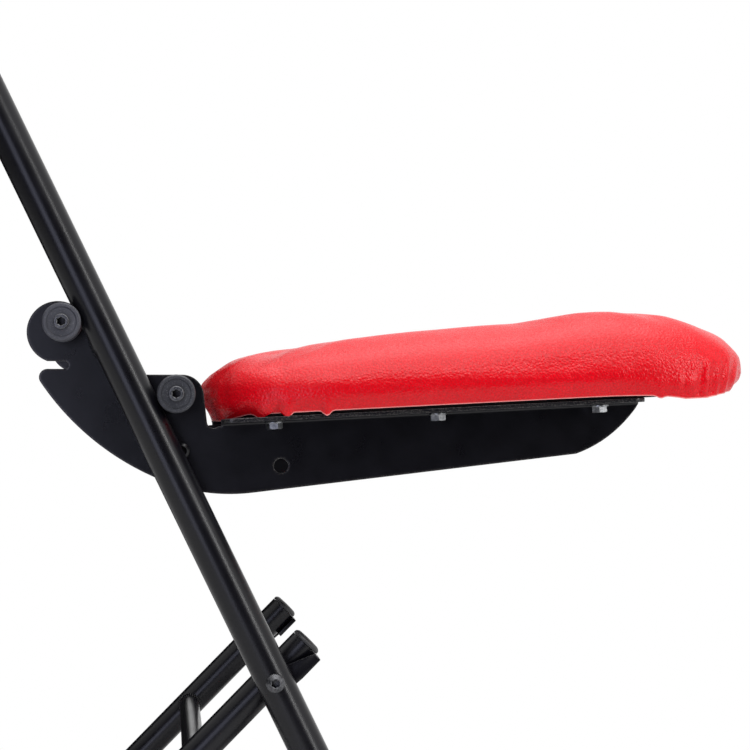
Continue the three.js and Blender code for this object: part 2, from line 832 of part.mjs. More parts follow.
function plateOutline() {
  const shape = new THREE.Shape();
  const bend = (plateThickness + bendRadius) / Math.cos(tilt);
  const notchZ = lobe.z - notchDrop;
  const notchTop = notchZ + notchWidth / 2;
  const notchLow = notchZ - notchWidth / 2;
  const notchEndX = lobe.x + notchEnd - notchWidth / 2;
  const mouthTurn = Math.PI + Math.asin((lobe.z - notchTop) / lobeRadius);
  const lip = { x: lobe.x - lipBack, z: notchLow - lipRadius };
  const sweepZ = sweepRadius - plateDepth;
  const lipReach = sweepRadius - lipRadius;
  const lipTurn = Math.PI + Math.asin((sweepZ - lip.z) / lipReach);
  const sweepX = lip.x - lipReach * Math.cos(lipTurn);
  const cornerTurn = -Math.acos((lowCornerX - sweepX) / sweepRadius);
  const sweepTurn = cornerTurn - lowCornerRadius / sweepRadius;
  const lowZ = sweepZ + sweepRadius * Math.sin(cornerTurn);
  const bottomZ = (x) => lowZ + (x - lowCornerX) * Math.tan(bottomRise);
  const noseStartX = noseX - noseLength;
  const saddleRadius = lobe.z - ear.z - earRadius;
  const saddleX = lobe.x + lobeRadius + saddleRadius;
  const reliefTurn = Math.asin((deckHeight(relief.x) - bend - relief.z) / reliefRadius);
  const reliefX = relief.x + reliefRadius * Math.cos(reliefTurn);

  shape.moveTo(lobe.x + lobeRadius * Math.cos(mouthTurn), notchTop);
  shape.lineTo(notchEndX, notchTop);
  shape.absarc(notchEndX, notchZ, notchWidth / 2, quarterTurn, -quarterTurn, true);
  shape.lineTo(lip.x, notchLow);
  shape.absarc(lip.x, lip.z, lipRadius, quarterTurn, lipTurn, false);
  shape.absarc(sweepX, sweepZ, sweepRadius, lipTurn, sweepTurn + 2 * Math.PI, false);
  shape.quadraticCurveTo(
    lowCornerX,
    lowZ,
    lowCornerX + lowCornerRadius,
    bottomZ(lowCornerX + lowCornerRadius),
  );
  shape.lineTo(noseStartX, bottomZ(noseStartX));
  shape.quadraticCurveTo(
    noseStartX + nosePullX,
    bottomZ(noseStartX) + nosePullZ,
    noseX,
    deckHeight(noseX) - bend,
  );
  shape.lineTo(reliefX, deckHeight(reliefX) - bend);
  shape.absarc(relief.x, relief.z, reliefRadius, reliefTurn, -Math.PI, true);
  shape.lineTo(ear.x + earRadius, ear.z);
  shape.absarc(ear.x, ear.z, earRadius, 0, quarterTurn, false);
  shape.lineTo(saddleX, ear.z + earRadius);
  shape.absarc(saddleX, lobe.z, saddleRadius, -quarterTurn, -2 * quarterTurn, true);
  shape.absarc(lobe.x, lobe.z, lobeRadius, 0, mouthTurn, false);

  hole(shape, rearDisc, bushRadius + seatGap);
  hole(shape, frontDisc, screwRadius + seatGap);
  hole(shape, tieHole, screwRadius + seatGap);
  hole(shape, openHole, openHoleRadius);
  return shape;
}

// The plate's top edge, bent outwards: drawn in Y and Z of the deck and run forward along it.
function plateFlange() {
  const outer = plateThickness + bendRadius;
  const section = new THREE.Shape();
  section.moveTo(plateInnerFace, -outer - overrun);
  section.lineTo(plateOuterFace, -outer - overrun);
  section.absarc(plateOuterFace + bendRadius, -outer, bendRadius, 2 * quarterTurn, quarterTurn, true);
  section.lineTo(plateOuterFace + flangeReach, -plateThickness);
  section.lineTo(plateOuterFace + flangeReach, 0);
  section.absarc(plateOuterFace + bendRadius, -outer, outer, quarterTurn, 2 * quarterTurn, false);
  const run = new THREE.ExtrudeGeometry(section, {
    depth: flangeLength,
    bevelEnabled: false,
    curveSegments: arcSteps / 2,
  });
  run.rotateY(quarterTurn).rotateX(quarterTurn);
  const plan = roundedRectangle(
    0,
    plateInnerFace - flangeCorner - overrun,
    flangeLength,
    flangeCorner + overrun + plateThickness + flangeReach,
    flangeCorner,
  );
  const footprint = new THREE.ExtrudeGeometry(plan, {
    depth: 2 * (outer + overrun),
    bevelEnabled: false,
    curveSegments: arcSteps / 2,
  });
  footprint.translate(0, 0, -outer - 2 * overrun);
  const holes = [];
  for (let bolt = 0; bolt < deckBoltsPerSide; bolt++)
    holes.push(
      standUp(rod(deckBoltRadius + seatGap, 2 * outer, holeSides)).translate(
        deckBoltStart + bolt * deckBoltSpacing,
        deckBoltY,
        0,
      ),
    );
  return cut(common(run, footprint), ...holes);
}

function sidePlate() {
  const flange = plateFlange().rotateY(-tilt).translate(deckStart.x, 0, deckStart.z);
  return join(sheet(plateOutline(), plateInnerFace, plateThickness), flange);
}

// Seat board, bolts and threaded inserts, in the deck's frame
const boardLowFace = seatGap;
const boardTopFace = boardLowFace + boardThickness;
const nutTop = boardTopFace - seatGap;

function boltPlaces() {
  const places = [];
  for (let bolt = 0; bolt < deckBoltsPerSide; bolt++)
    for (const side of [1, -1])
      places.push({
        name: (bolt + 1).toString() + (side > 0 ? "_left" : "_right"),
        x: deckBoltStart + bolt * deckBoltSpacing,
        y: side * deckBoltY,
      });
  return places;
}

function seatBoard() {
  const board = new THREE.ExtrudeGeometry(
    roundedRectangle(boardRear, -boardHalfWidth, boardLength, 2 * boardHalfWidth, boardCorner),
    { depth: boardThickness, bevelEnabled: false, curveSegments: arcSteps / 2 },
  ).translate(0, 0, boardLowFace);
  const holes = [];
  for (const { x, y } of boltPlaces()) {
    const barrel = standUp(rod(nutBarrelRadius + seatGap, 2 * (boardThickness + overrun)));
    const recessDepth = nutFlangeThickness + 2 * seatGap;
    const recess = standUp(rod(nutFlangeRadius + 2 * seatGap, 2 * recessDepth));
    holes.push(barrel.translate(x, y, boardLowFace), recess.translate(x, y, boardTopFace));
  }
  return cut(board, ...holes);
}

function deckBolt() {
  const under = -plateThickness - seatGap;
  const shankTop = nutTop - nutFlangeThickness;
  const washer = turned([
    [0, under - washerThickness],
    [washerRadius, under - washerThickness],
    [washerRadius, under],
    [deckBoltRadius, under],
    [deckBoltRadius, shankTop],
    [0, shankTop],
  ]);
  const head = rod(boltHeadRadius, boltHeadHeight + washerThickness / 2, hexSides).translate(
    0,
    under - washerThickness / 2 - (boltHeadHeight + washerThickness / 2) / 2,
    0,
  );
  return standUp(join(washer, head));
}

function insertNut() {
  const bore = deckBoltRadius + seatGap;
  return standUp(
    turned([
      [bore, nutTop - nutDepth],
      [nutBarrelRadius, nutTop - nutDepth],
      [nutBarrelRadius, nutTop - nutFlangeThickness],
      [nutFlangeRadius, nutTop - nutFlangeThickness],
      [nutFlangeRadius, nutTop],
      [bore, nutTop],
      [bore, nutTop - nutDepth],
    ]),
  );
}

// Seat pad: raised at the front, dished behind it, with a rounded shoulder and a wall drawn in at its foot
const padTopCurve = new THREE.SplineCurve(padTopShares.map(([x, z]) => new THREE.Vector2(x, z)));
const padTopSamples = padTopCurve.getPoints(4 * padTopShares.length);

function padTop(x) {
  const share = THREE.MathUtils.clamp((x - padRear) / padLength, 0, 1);
  const next = padTopSamples.findIndex((sample) => sample.x >= share);
  const high = padTopSamples[Math.max(1, next)];
  const low = padTopSamples[Math.max(1, next) - 1];
  return padThickness * THREE.MathUtils.mapLinear(share, low.x, high.x, low.y, high.y);
}

function padPoint(turn, share, level) {
  const reach = outlineReach(turn, padLength / 2, padHalfWidth, padCorner);
  const edge = share * reach - (level < 1 ? padDrawIn * (1 - level) ** 2 : 0);
  const cornerPull = padRearBulge * share * Math.max(0, -Math.cos(turn)) * Math.abs(Math.sin(turn));
  const x = padRear + padLength / 2 + edge * Math.cos(turn) + cornerPull;
  const inward = Math.min(1, ((1 - share) * reach) / padRoll);
  const crown = padWallHeight + (padTop(x) - padWallHeight) * Math.sqrt(1 - (1 - inward) ** 2);
  return new THREE.Vector3(x, edge * Math.sin(turn), padSkirtRise + level * (crown - padSkirtRise));
}

function seatPad() {
  const skin = cushion(padPoint);
  const pocket = new THREE.ExtrudeGeometry(
    roundedRectangle(
      boardRear - seatGap,
      -boardHalfWidth - seatGap,
      boardLength + 2 * seatGap,
      2 * (boardHalfWidth + seatGap),
      boardCorner,
    ),
    { depth: boardTopFace + seatGap + overrun, bevelEnabled: false, curveSegments: arcSteps / 2 },
  );
  return cut(skin, pocket.translate(0, 0, -overrun));
}

// Assembly
add(tubeGroup, "upright_tube", uprightTube(), blackPaint);
add(tubeGroup, "front_crossbar",
  crossTube(crossbarRadius, crossbarWall, tubeHalfSpacing, tubeRadius, -crossbarReach), blackPaint);
addPair(tubeGroup, "front_foot",
  foot(tubeGroup, tubeRadius, tubeFloorReach, lean).translate(0, tubeHalfSpacing, 0), blackRubber);
for (const [name, z] of [["lower", lowerRailReach], ["upper", upperRailReach]]) {
  add(tubeGroup, "back_rail_" + name, backRail(z), blackPaint);
  for (const [sideName, side] of [["left", 1], ["right", -1]])
    add(tubeGroup, "back_screw_" + name + "_" + sideName, toBackScrew(backScrew(), side, z), blackScrew);
}
add(tubeGroup, "backrest_board", backBoard(), blackBoard);
add(tubeGroup, "backrest_pad", backPad(), redLeather);

addPair(legGroup, "rear_leg", rearLeg(), blackPaint);
addPair(legGroup, "rear_leg_plug", legPlug(), blackPlastic);
addPair(legGroup, "rear_foot",
  foot(legGroup, legRadius, legLength, legLean).translate(0, legHalfSpacing, 0), blackRubber);
add(legGroup, "rear_rung_upper",
  crossTube(rungRadius, rungWall, legHalfSpacing, legRadius, -upperRungDrop), blackPaint);
add(legGroup, "rear_rung_lower",
  crossTube(rungRadius, rungWall, legHalfSpacing, legRadius, lowerRungRise - legLength), blackPaint);
addPair(legGroup, "leg_bracket", legBracket(), blackPaint);
addPair(legGroup, "leg_pivot_bolt", pivotBolt(), blackScrew);
addPair(legGroup, "leg_pivot_nut", pivotNut(), zinc);
addPair(legGroup, "leg_pivot_spacer", pivotSpacer(), paleNylon);

add(seatGroup, "rear_axle_bar", moved(spacerBar(axleBarRadius), rearDisc), blackPaint);
addPair(seatGroup, "rear_disc", moved(gripDisc(rearDiscOffset), rearDisc), discPlastic);
addPair(seatGroup, "rear_disc_screw", moved(socketScrew(discFace), rearDisc), blackScrew);
addPair(seatGroup, "rear_bush", moved(plateBush(), rearDisc), paleNylon);

addPair(seatGroup, "side_plate", sidePlate(), blackPaint);
add(seatGroup, "front_axle_bar", moved(spacerBar(axleBarRadius), frontDisc), blackPaint);
addPair(seatGroup, "front_disc", moved(gripDisc(frontDiscOffset), frontDisc), discPlastic);
addPair(seatGroup, "front_disc_screw", moved(socketScrew(discFace), frontDisc), blackScrew);
add(seatGroup, "lower_tie_bar", moved(spacerBar(tieBarRadius), tieHole), blackPaint);
addPair(seatGroup, "tie_screw", moved(domeScrew(plateOuterFace), tieHole), blackScrew);

add(deckGroup, "seat_board", seatBoard(), blackBoard);
add(deckGroup, "seat_pad", seatPad(), redLeather);
for (const { name, x, y } of boltPlaces()) {
  add(deckGroup, "seat_bolt_" + name, deckBolt().translate(x, y, 0), zinc);
  add(deckGroup, "seat_insert_" + name, insertNut().translate(x, y, 0), zinc);
}

// The origin is on the floor under the middle of the chair's outer box.
const outerBox = new THREE.Box3().setFromObject(chair, true);
chair.position.x = -(outerBox.min.x + outerBox.max.x) / 2;

export default chair;
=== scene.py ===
# %% [markdown]
# # A choir chair, dressed around its working model
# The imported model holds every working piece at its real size. This notebook loads it as a fixed frame and
# makes the surfaces that are seen: painted tubes and plates, turned discs, screws, and the red padded seat.

import json
import math

import bmesh
import bpy
import numpy as np
from mathutils import Matrix, Vector, geometry, kdtree, noise


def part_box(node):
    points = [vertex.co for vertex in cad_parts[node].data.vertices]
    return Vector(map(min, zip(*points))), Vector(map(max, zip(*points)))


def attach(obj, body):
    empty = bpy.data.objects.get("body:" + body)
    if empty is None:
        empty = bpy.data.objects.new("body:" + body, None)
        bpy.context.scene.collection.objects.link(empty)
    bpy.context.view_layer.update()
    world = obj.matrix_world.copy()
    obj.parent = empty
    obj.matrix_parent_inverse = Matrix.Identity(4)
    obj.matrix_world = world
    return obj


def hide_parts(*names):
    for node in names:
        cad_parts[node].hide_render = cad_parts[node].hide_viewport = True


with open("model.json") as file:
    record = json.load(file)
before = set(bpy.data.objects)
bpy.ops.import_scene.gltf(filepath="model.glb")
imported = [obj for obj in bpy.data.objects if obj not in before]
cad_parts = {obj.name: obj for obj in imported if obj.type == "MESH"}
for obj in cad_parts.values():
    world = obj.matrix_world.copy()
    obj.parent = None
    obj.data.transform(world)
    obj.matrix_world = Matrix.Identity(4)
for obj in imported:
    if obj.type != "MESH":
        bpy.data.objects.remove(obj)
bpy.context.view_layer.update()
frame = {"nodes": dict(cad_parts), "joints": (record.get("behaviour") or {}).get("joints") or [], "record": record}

# %% [markdown]
# ## The chair's own directions
# Almost nothing on this chair is square to the floor. The tube leans back, the rear legs lean the other way,
# and the seat deck tips up to the front. Each piece is drawn straight, in the frame of what carries it, and a
# matrix then turns it into place. The joints say where these frames lie, so nothing is measured twice.

# %% Frames of the tube, the rear legs and the seat deck
joints = {joint["name"]: joint for joint in frame["joints"]}
slide_axis = joints["seat_height"]["axis"]
lean = math.atan2(-slide_axis[0], slide_axis[2])
rear_disc_centre = Vector(joints["seat_fold"]["pos_m"])
leg_pivot = Vector(joints["rear_leg_fold"]["pos_m"])

tube_radius = 0.0127
tube_spacing = 0.181  # from the chair's middle to each upright tube
disc_radius = 0.0131
disc_half_width = 0.0139
disc_stagger = 0.0388
rear_bite = 0.00275  # how deep each groove takes the tube in
front_bite = 0.0005
rear_disc_offset = tube_radius + disc_radius - rear_bite
front_disc_offset = tube_radius + disc_radius - front_bite
clearance = 0.0003  # between two pieces that only touch, and round a shank in its hole


def along_tube(offset, reach):
    """A step square to the tube and a step up it, as one vector."""
    return Vector((
        offset * math.cos(lean) - reach * math.sin(lean),
        0,
        offset * math.sin(lean) + reach * math.cos(lean),
    ))


grip = rear_disc_centre - along_tube(-rear_disc_offset, disc_stagger)
front_disc_centre = grip + along_tube(front_disc_offset, -disc_stagger)
tube_frame = Matrix.Translation(grip) @ Matrix.Rotation(-lean, 4, "Y")
rear_foot_reach = 0.150
leg_lean = math.atan2(leg_pivot.x - grip.x + rear_foot_reach, leg_pivot.z)
leg_frame = Matrix.Translation(leg_pivot) @ Matrix.Rotation(leg_lean, 4, "Y")

ear_radius = 0.015
ear_from_disc = Vector((0.0042, 0, -0.0015))
deck_from_ear = Vector((0.0116, 0, -0.0307))
deck_tilt = math.radians(3.04)
ear = front_disc_centre + ear_from_disc
deck_start = ear + Vector((ear_radius, 0, ear_radius)) + deck_from_ear
deck_frame = Matrix.Translation(deck_start) @ Matrix.Rotation(-deck_tilt, 4, "Y")
tube_floor_reach = grip.z / math.cos(lean)
leg_length = leg_pivot.z / math.cos(leg_lean)
print("lean", round(math.degrees(lean), 2), "leg lean", round(math.degrees(leg_lean), 2))

# %% [markdown]
# ## Camera
# The picture was taken level with the seat from about 1.6 m beside it, with the lens a little off to one
# side. A camera that is turned by a few degrees frames the near side almost alike, and it needs no shift,
# so it also frames the chair well from every other direction.

# %% Camera beside the seat
camera_place = Vector((-0.0807, -1.776, 0.44205))
camera_yaw = math.radians(5.079)
camera_pitch = math.radians(1.058)
camera_roll = math.radians(0.091)
picture_width = 750
focal_pixels = 2326.2

camera_data = bpy.data.cameras.new("camera")
camera_data.sensor_width = 36
camera_data.lens = camera_data.sensor_width * focal_pixels / picture_width
camera = bpy.data.objects.new("camera", camera_data)
bpy.context.scene.collection.objects.link(camera)
ahead = Vector((
    math.sin(camera_yaw) * math.cos(camera_pitch),
    math.cos(camera_yaw) * math.cos(camera_pitch),
    math.sin(camera_pitch),
))
camera.matrix_world = (
    Matrix.Translation(camera_place)
    @ ahead.to_track_quat("-Z", "Y").to_matrix().to_4x4()
    @ Matrix.Rotation(camera_roll, 4, "Z")
)
bpy.context.scene.camera = camera
bpy.context.scene.view_settings.view_transform = "Standard"
print("lens", round(camera_data.lens, 1), "mm")

# %% [markdown]
# ## Studio
# A white room is not made by more light, which would bleach the red cover. The sky is simply white to the
# camera and to shiny surfaces, and gives a calmer level to everything else. The floor fades from a pale
# matt paper, which keeps the chair's shadow, to plain white further out.

# %% A node with its inputs
def node_in(tree, kind, inputs=(), **settings):
    """Adds a node, sets it up, and feeds its inputs, each with another node's output or a plain value."""
    node = tree.nodes.new(kind)
    for setting, choice in settings.items():
        setattr(node, setting, choice)
    for socket, value in dict(inputs).items():
        if isinstance(value, bpy.types.NodeSocket):
            tree.links.new(value, node.inputs[socket])
        else:
            node.inputs[socket].default_value = value
    return node


def either(tree, first, second):
    return node_in(tree, "ShaderNodeMath", {0: first, 1: second}, operation="MAXIMUM").outputs[0]


# %% White sky
room_level = 0.55
world = bpy.data.worlds.new("studio")
bpy.context.scene.world = world
world.use_nodes = True
sky = world.node_tree
rays = node_in(sky, "ShaderNodeLightPath").outputs
seen = either(sky, either(sky, rays["Is Camera Ray"], rays["Is Glossy Ray"]), rays["Is Transmission Ray"])
strength = node_in(sky, "ShaderNodeMapRange", {"Value": seen, "To Min": room_level, "To Max": 1})
background = sky.nodes["Background"]
background.inputs["Color"].default_value = (1, 1, 1, 1)
sky.links.new(strength.outputs["Result"], background.inputs["Strength"])


# %% Paper floor
def stage_sheet(name, corners, finish):
    mesh = bpy.data.meshes.new(name)
    mesh.from_pydata(corners, [], [tuple(range(len(corners)))])
    sheet = bpy.data.objects.new(name, mesh)
    bpy.context.scene.collection.objects.link(sheet)
    sheet.data.materials.append(finish)
    return sheet


def matt(name, grey, roughness, specular):
    """A plain grey material."""
    finish = bpy.data.materials.new(name)
    finish.use_nodes = True
    shader = finish.node_tree.nodes["Principled BSDF"]
    shader.inputs["Base Color"].default_value = (grey, grey, grey, 1)
    shader.inputs["Roughness"].default_value = roughness
    shader.inputs["Specular IOR Level"].default_value = specular
    return finish


def paper(fade_start=0.55, fade_end=1.15):
    finish = matt("paper", 0.86, 0.9, 0.1)
    tree = finish.node_tree
    place = node_in(tree, "ShaderNodeTexCoord").outputs["Object"]
    distance = node_in(tree, "ShaderNodeVectorMath", {0: place}, operation="LENGTH").outputs["Value"]
    fade = node_in(tree, "ShaderNodeMapRange", {
        "Value": distance, "From Min": fade_start, "From Max": fade_end,
    }).outputs["Result"]
    rays = node_in(tree, "ShaderNodeLightPath").outputs
    seen = either(tree, rays["Is Camera Ray"], rays["Is Glossy Ray"])
    share = node_in(tree, "ShaderNodeMath", {0: fade, 1: seen}, operation="MULTIPLY").outputs[0]
    white = node_in(tree, "ShaderNodeEmission").outputs[0]
    shaded = tree.nodes["Principled BSDF"].outputs[0]
    mixed = node_in(tree, "ShaderNodeMixShader", {0: share, 1: shaded, 2: white})
    tree.links.new(mixed.outputs[0], tree.nodes["Material Output"].inputs["Surface"])
    return finish


floor_half = 20
floor_corners = [(x * floor_half, y * floor_half, 0) for x, y in ((-1, -1), (1, -1), (1, 1), (-1, 1))]
stage_sheet("floor", floor_corners, paper())


# %% Softboxes
def softbox(name, place, aim, width, height, watts, colour=(1, 1, 1)):
    light = bpy.data.lights.new(name, "AREA")
    light.shape = "RECTANGLE"
    light.size = width
    light.size_y = height
    light.energy = watts
    light.color = colour
    lamp = bpy.data.objects.new(name, light)
    bpy.context.scene.collection.objects.link(lamp)
    lamp.location = place
    lamp.rotation_mode = "QUATERNION"
    lamp.rotation_quaternion = (Vector(aim) - Vector(place)).to_track_quat("-Z", "Y")
    lamp.visible_camera = False


middle = (0.05, 0, 0.45)
lobe_side = (-0.2, 0, 0.45)
softbox("overhead", (0.1, -0.1, 2.3), middle, 1.8, 1.8, 30)
softbox("front_right", (1.5, -1.5, 1.05), middle, 0.26, 1.3, 14)
softbox("above_camera", (0.20, -1.60, 2.15), middle, 2.0, 0.4, 17)
softbox("plate_fill", (-0.52, -1.45, 0.45), lobe_side, 0.55, 0.8, 4.4, (0.74, 0.77, 1.0))


# %% [markdown]
# A photographer hangs black cloth beside the camera, so that black paint has something dark to mirror and
# stays black. Three cloths do that here, and the camera looks straight through them. The one at the back
# keeps a white glare off the rear end of the red seat, which is seen almost edge on.

# %% Black cloths
cloth_left = -1.7
cloth_front = -1.5
cloth_back = 0.9
front_cloth_end = 1.15
back_cloth_end = -0.12
cloth_low = 0.02
cloth_top = 1.5
cloth_back_top = 1.25


def hung(start, end, tops):
    """The corners of a cloth that hangs over a line on the floor, with the height of its top at both ends."""
    return [(*start, cloth_low), (*end, cloth_low), (*end, tops[1]), (*start, tops[0])]


cloths = {
    "cloth_front": hung((cloth_left, cloth_front), (front_cloth_end, cloth_front), (cloth_top, cloth_top)),
    "cloth_left": hung((cloth_left, cloth_front), (cloth_left, cloth_back), (cloth_top, cloth_back_top)),
    "cloth_back": hung((cloth_left, cloth_back), (back_cloth_end, cloth_back), (cloth_back_top,) * 2),
}
cloth_finish = matt("black_cloth", 0.01, 1, 0)
for name, corners in cloths.items():
    stage_sheet(name, corners, cloth_finish).visible_camera = False
print("stage: floor, sky, 4 softboxes,", len(cloths), "cloths")

# %% [markdown]
# ## Finishes
# Each finish is a small node tree on the piece's own Object coordinates, so its grain has a real size in
# metres and stays put when a joint moves. Colours are linear, and black paint is never quite black.

# %% What the finishes share
finishes = {}


class Finish:
    """A material under one slot name, with short calls for its nodes."""

    def __init__(self, slot, roughness=0.5, metallic=0.0, specular=0.5):
        self.material = bpy.data.materials.new(slot)
        self.material.use_nodes = True
        self.tree = self.material.node_tree
        self.shader = self.tree.nodes["Principled BSDF"]
        levels = {"Roughness": roughness, "Metallic": metallic, "Specular IOR Level": specular}
        for socket, level in levels.items():
            self.shader.inputs[socket].default_value = level
        self.places = self.node("ShaderNodeTexCoord").outputs["Object"]
        finishes[slot] = self.material

    def node(self, kind, inputs=(), **settings):
        return node_in(self.tree, kind, inputs, **settings)

    def feed(self, output, socket):
        self.tree.links.new(output, self.shader.inputs[socket])

    def noise(self, scale, detail=2.0, roughness=0.5, places=None):
        return self.node("ShaderNodeTexNoise", {
            "Vector": places or self.places, "Scale": scale, "Detail": detail, "Roughness": roughness,
        }).outputs["Fac"]

    def cells(self, scale, places, feature, **inputs):
        inputs = {"Vector": places, "Scale": scale, **inputs}
        return self.node("ShaderNodeTexVoronoi", inputs, feature=feature).outputs["Distance"]

    def remap(self, value, low, high, to_low=0.0, to_high=1.0):
        return self.node("ShaderNodeMapRange", {
            "Value": value, "From Min": low, "From Max": high, "To Min": to_low, "To Max": to_high,
        }).outputs["Result"]

    def mix(self, share, first, second):
        first, second = ((*colour, 1) if isinstance(colour, tuple) else colour for colour in (first, second))
        return self.node("ShaderNodeMix", {0: share, 6: first, 7: second}, data_type="RGBA").outputs[2]

    def attribute(self, name):
        return self.node("ShaderNodeAttribute", attribute_name=name).outputs["Fac"]

    def bump(self, height, distance, strength):
        """Lays one more relief over those that the shader has already."""
        node = self.node("ShaderNodeBump", {"Height": height, "Distance": distance, "Strength": strength})
        below = self.shader.inputs["Normal"].links
        if below:
            self.tree.links.new(below[0].from_socket, node.inputs["Normal"])
        self.feed(node.outputs["Normal"], "Normal")


# %% [markdown]
# Powder coat is sprayed as dust and baked, so it melts into a fine orange peel. It is a cool black and half
# glossy. The rounded edges of the plates are painted lighter in patches, partly as worn, thinned coat and partly
# as a painted highlight where the edges catch the light: a vertex attribute marks them.

# %% Black powder coat
def powder_coat():
    finish = Finish("black_paint", specular=0.32)
    cloud = finish.noise(55, detail=4)
    finish.feed(finish.remap(cloud, 0.3, 0.7, 0.27, 0.31), "Roughness")
    paint = finish.mix(finish.remap(cloud, 0.35, 0.7), (0.0024, 0.0022, 0.0037), (0.0034, 0.0032, 0.0054))
    # Rounded edges painted lighter in patches: partly worn coat, partly a painted highlight along the edges.
    edge_patches = finish.remap(finish.noise(900, 3), 0.48, 0.62)
    edge_wear_and_highlight = finish.node("ShaderNodeMath", {0: finish.attribute("edge_wear_and_highlight"), 1: edge_patches}, operation="MULTIPLY")
    finish.feed(finish.mix(edge_wear_and_highlight.outputs[0], paint, (0.045, 0.042, 0.040)), "Base Color")
    finish.bump(finish.noise(1500, detail=1), 0.00003, 0.35)
    finish.bump(finish.noise(260, detail=2), 0.00008, 0.25)


# %% [markdown]
# The discs are turned plastic. The lathe leaves fine rings, which here follow the distance from the disc's
# own axis, so each pair of discs has its own copy of the finish with its own centre. The front pair's copy is also
# painted darker than the rear pair's: painted shade.

# %% Turned plastic
def turned_plastic(slot, centre, dark, light):
    finish = Finish(slot, roughness=0.5, specular=0.4)
    from_axis = finish.node("ShaderNodeMapping", {
        "Vector": finish.places, "Location": (-centre.x, 0, -centre.z), "Scale": (1, 0, 1),
    })
    rings = finish.node("ShaderNodeTexWave", {
        "Vector": from_axis.outputs["Vector"], "Scale": 420, "Distortion": 1.2, "Detail": 2,
    }, wave_type="RINGS", rings_direction="SPHERICAL").outputs["Fac"]
    speck = finish.remap(finish.noise(1300, detail=3, roughness=0.7), 0.58, 0.72)
    base = finish.mix(rings, dark, light)
    finish.feed(finish.mix(speck, base, (0.15, 0.15, 0.16)), "Base Color")
    finish.feed(finish.remap(finish.noise(400, detail=3), 0.3, 0.7, 0.42, 0.60), "Roughness")
    finish.bump(rings, 0.00004, 0.5)
    return finish.material


# %% Black oxide and zinc
def black_oxide():
    finish = Finish("screw_black", metallic=0.85, roughness=0.36)
    cloud = finish.noise(700, detail=4, roughness=0.65)
    steel = finish.mix(finish.remap(cloud, 0.35, 0.7), (0.06, 0.061, 0.066), (0.14, 0.141, 0.148))
    # The pit of each socket is painted nearly black: painted shade in the recess.
    finish.feed(finish.mix(finish.attribute("pit"), steel, (0.012, 0.012, 0.013)), "Base Color")
    finish.feed(finish.remap(cloud, 0.3, 0.7, 0.30, 0.48), "Roughness")
    finish.bump(finish.noise(2200, detail=2), 0.00002, 0.4)


def shaded_zinc():
    finish = Finish("zinc_steel", metallic=0.95, roughness=0.28)
    cloud = finish.noise(450, detail=5, roughness=0.6)
    # Zinc plate is bright, but it is painted dark here: painted shade, as the bolts sit in shade under the seat.
    steel = finish.mix(finish.remap(cloud, 0.35, 0.65), (0.17, 0.175, 0.185), (0.36, 0.365, 0.37))
    finish.feed(steel, "Base Color")
    finish.feed(finish.remap(cloud, 0.3, 0.7, 0.30, 0.48), "Roughness")
    finish.bump(finish.noise(1600, detail=2), 0.00002, 0.5)


# %% Rubber, plug plastic, nylon and painted board
def foot_rubber():
    finish = Finish("foot_rubber", roughness=0.8, specular=0.3)
    scuff = finish.remap(finish.noise(90, detail=6, roughness=0.7), 0.52, 0.75)
    finish.feed(finish.mix(scuff, (0.014, 0.014, 0.014), (0.045, 0.043, 0.040)), "Base Color")
    finish.feed(finish.remap(scuff, 0, 1, 0.72, 0.95), "Roughness")
    finish.bump(finish.noise(1800, detail=2), 0.00005, 0.6)


def plug_plastic():
    finish = Finish("plug_plastic", roughness=0.5)
    finish.feed(finish.mix(finish.noise(300, 3), (0.012, 0.012, 0.013), (0.026, 0.026, 0.027)), "Base Color")
    finish.bump(finish.noise(2400, detail=1), 0.00004, 0.6)


def pale_nylon():
    finish = Finish("bush_nylon", roughness=0.45)
    finish.feed(finish.mix(finish.noise(250, 4), (0.62, 0.60, 0.53), (0.76, 0.74, 0.69)), "Base Color")
    finish.bump(finish.noise(1500, detail=1), 0.00003, 0.4)


def black_board():
    finish = Finish("black_board", roughness=0.85, specular=0.12)
    along = finish.node("ShaderNodeMapping", {"Vector": finish.places, "Scale": (1, 14, 14)})
    grain = finish.noise(30, detail=5, places=along.outputs["Vector"])
    paint = finish.mix(finish.remap(grain, 0.35, 0.7), (0.005, 0.005, 0.005), (0.013, 0.012, 0.012))
    finish.feed(paint, "Base Color")
    finish.bump(grain, 0.00012, 0.5)
    finish.bump(finish.noise(900, detail=2), 0.00005, 0.4)


# %% [markdown]
# The cover is vinyl with a printed leather grain: pebbles a little over a millimetre wide, parted by thin
# creases. Cells of a Voronoi pattern, pushed about by noise, give the pebbles; a second, finer set breaks
# them up. Gloss is higher on the pebbles than in the creases, so a soft light breaks into small glints.
# The hem attribute marks the cut edge of the cover, which is painted pale: partly the cover's paler backing,
# partly a painted highlight along the hem.

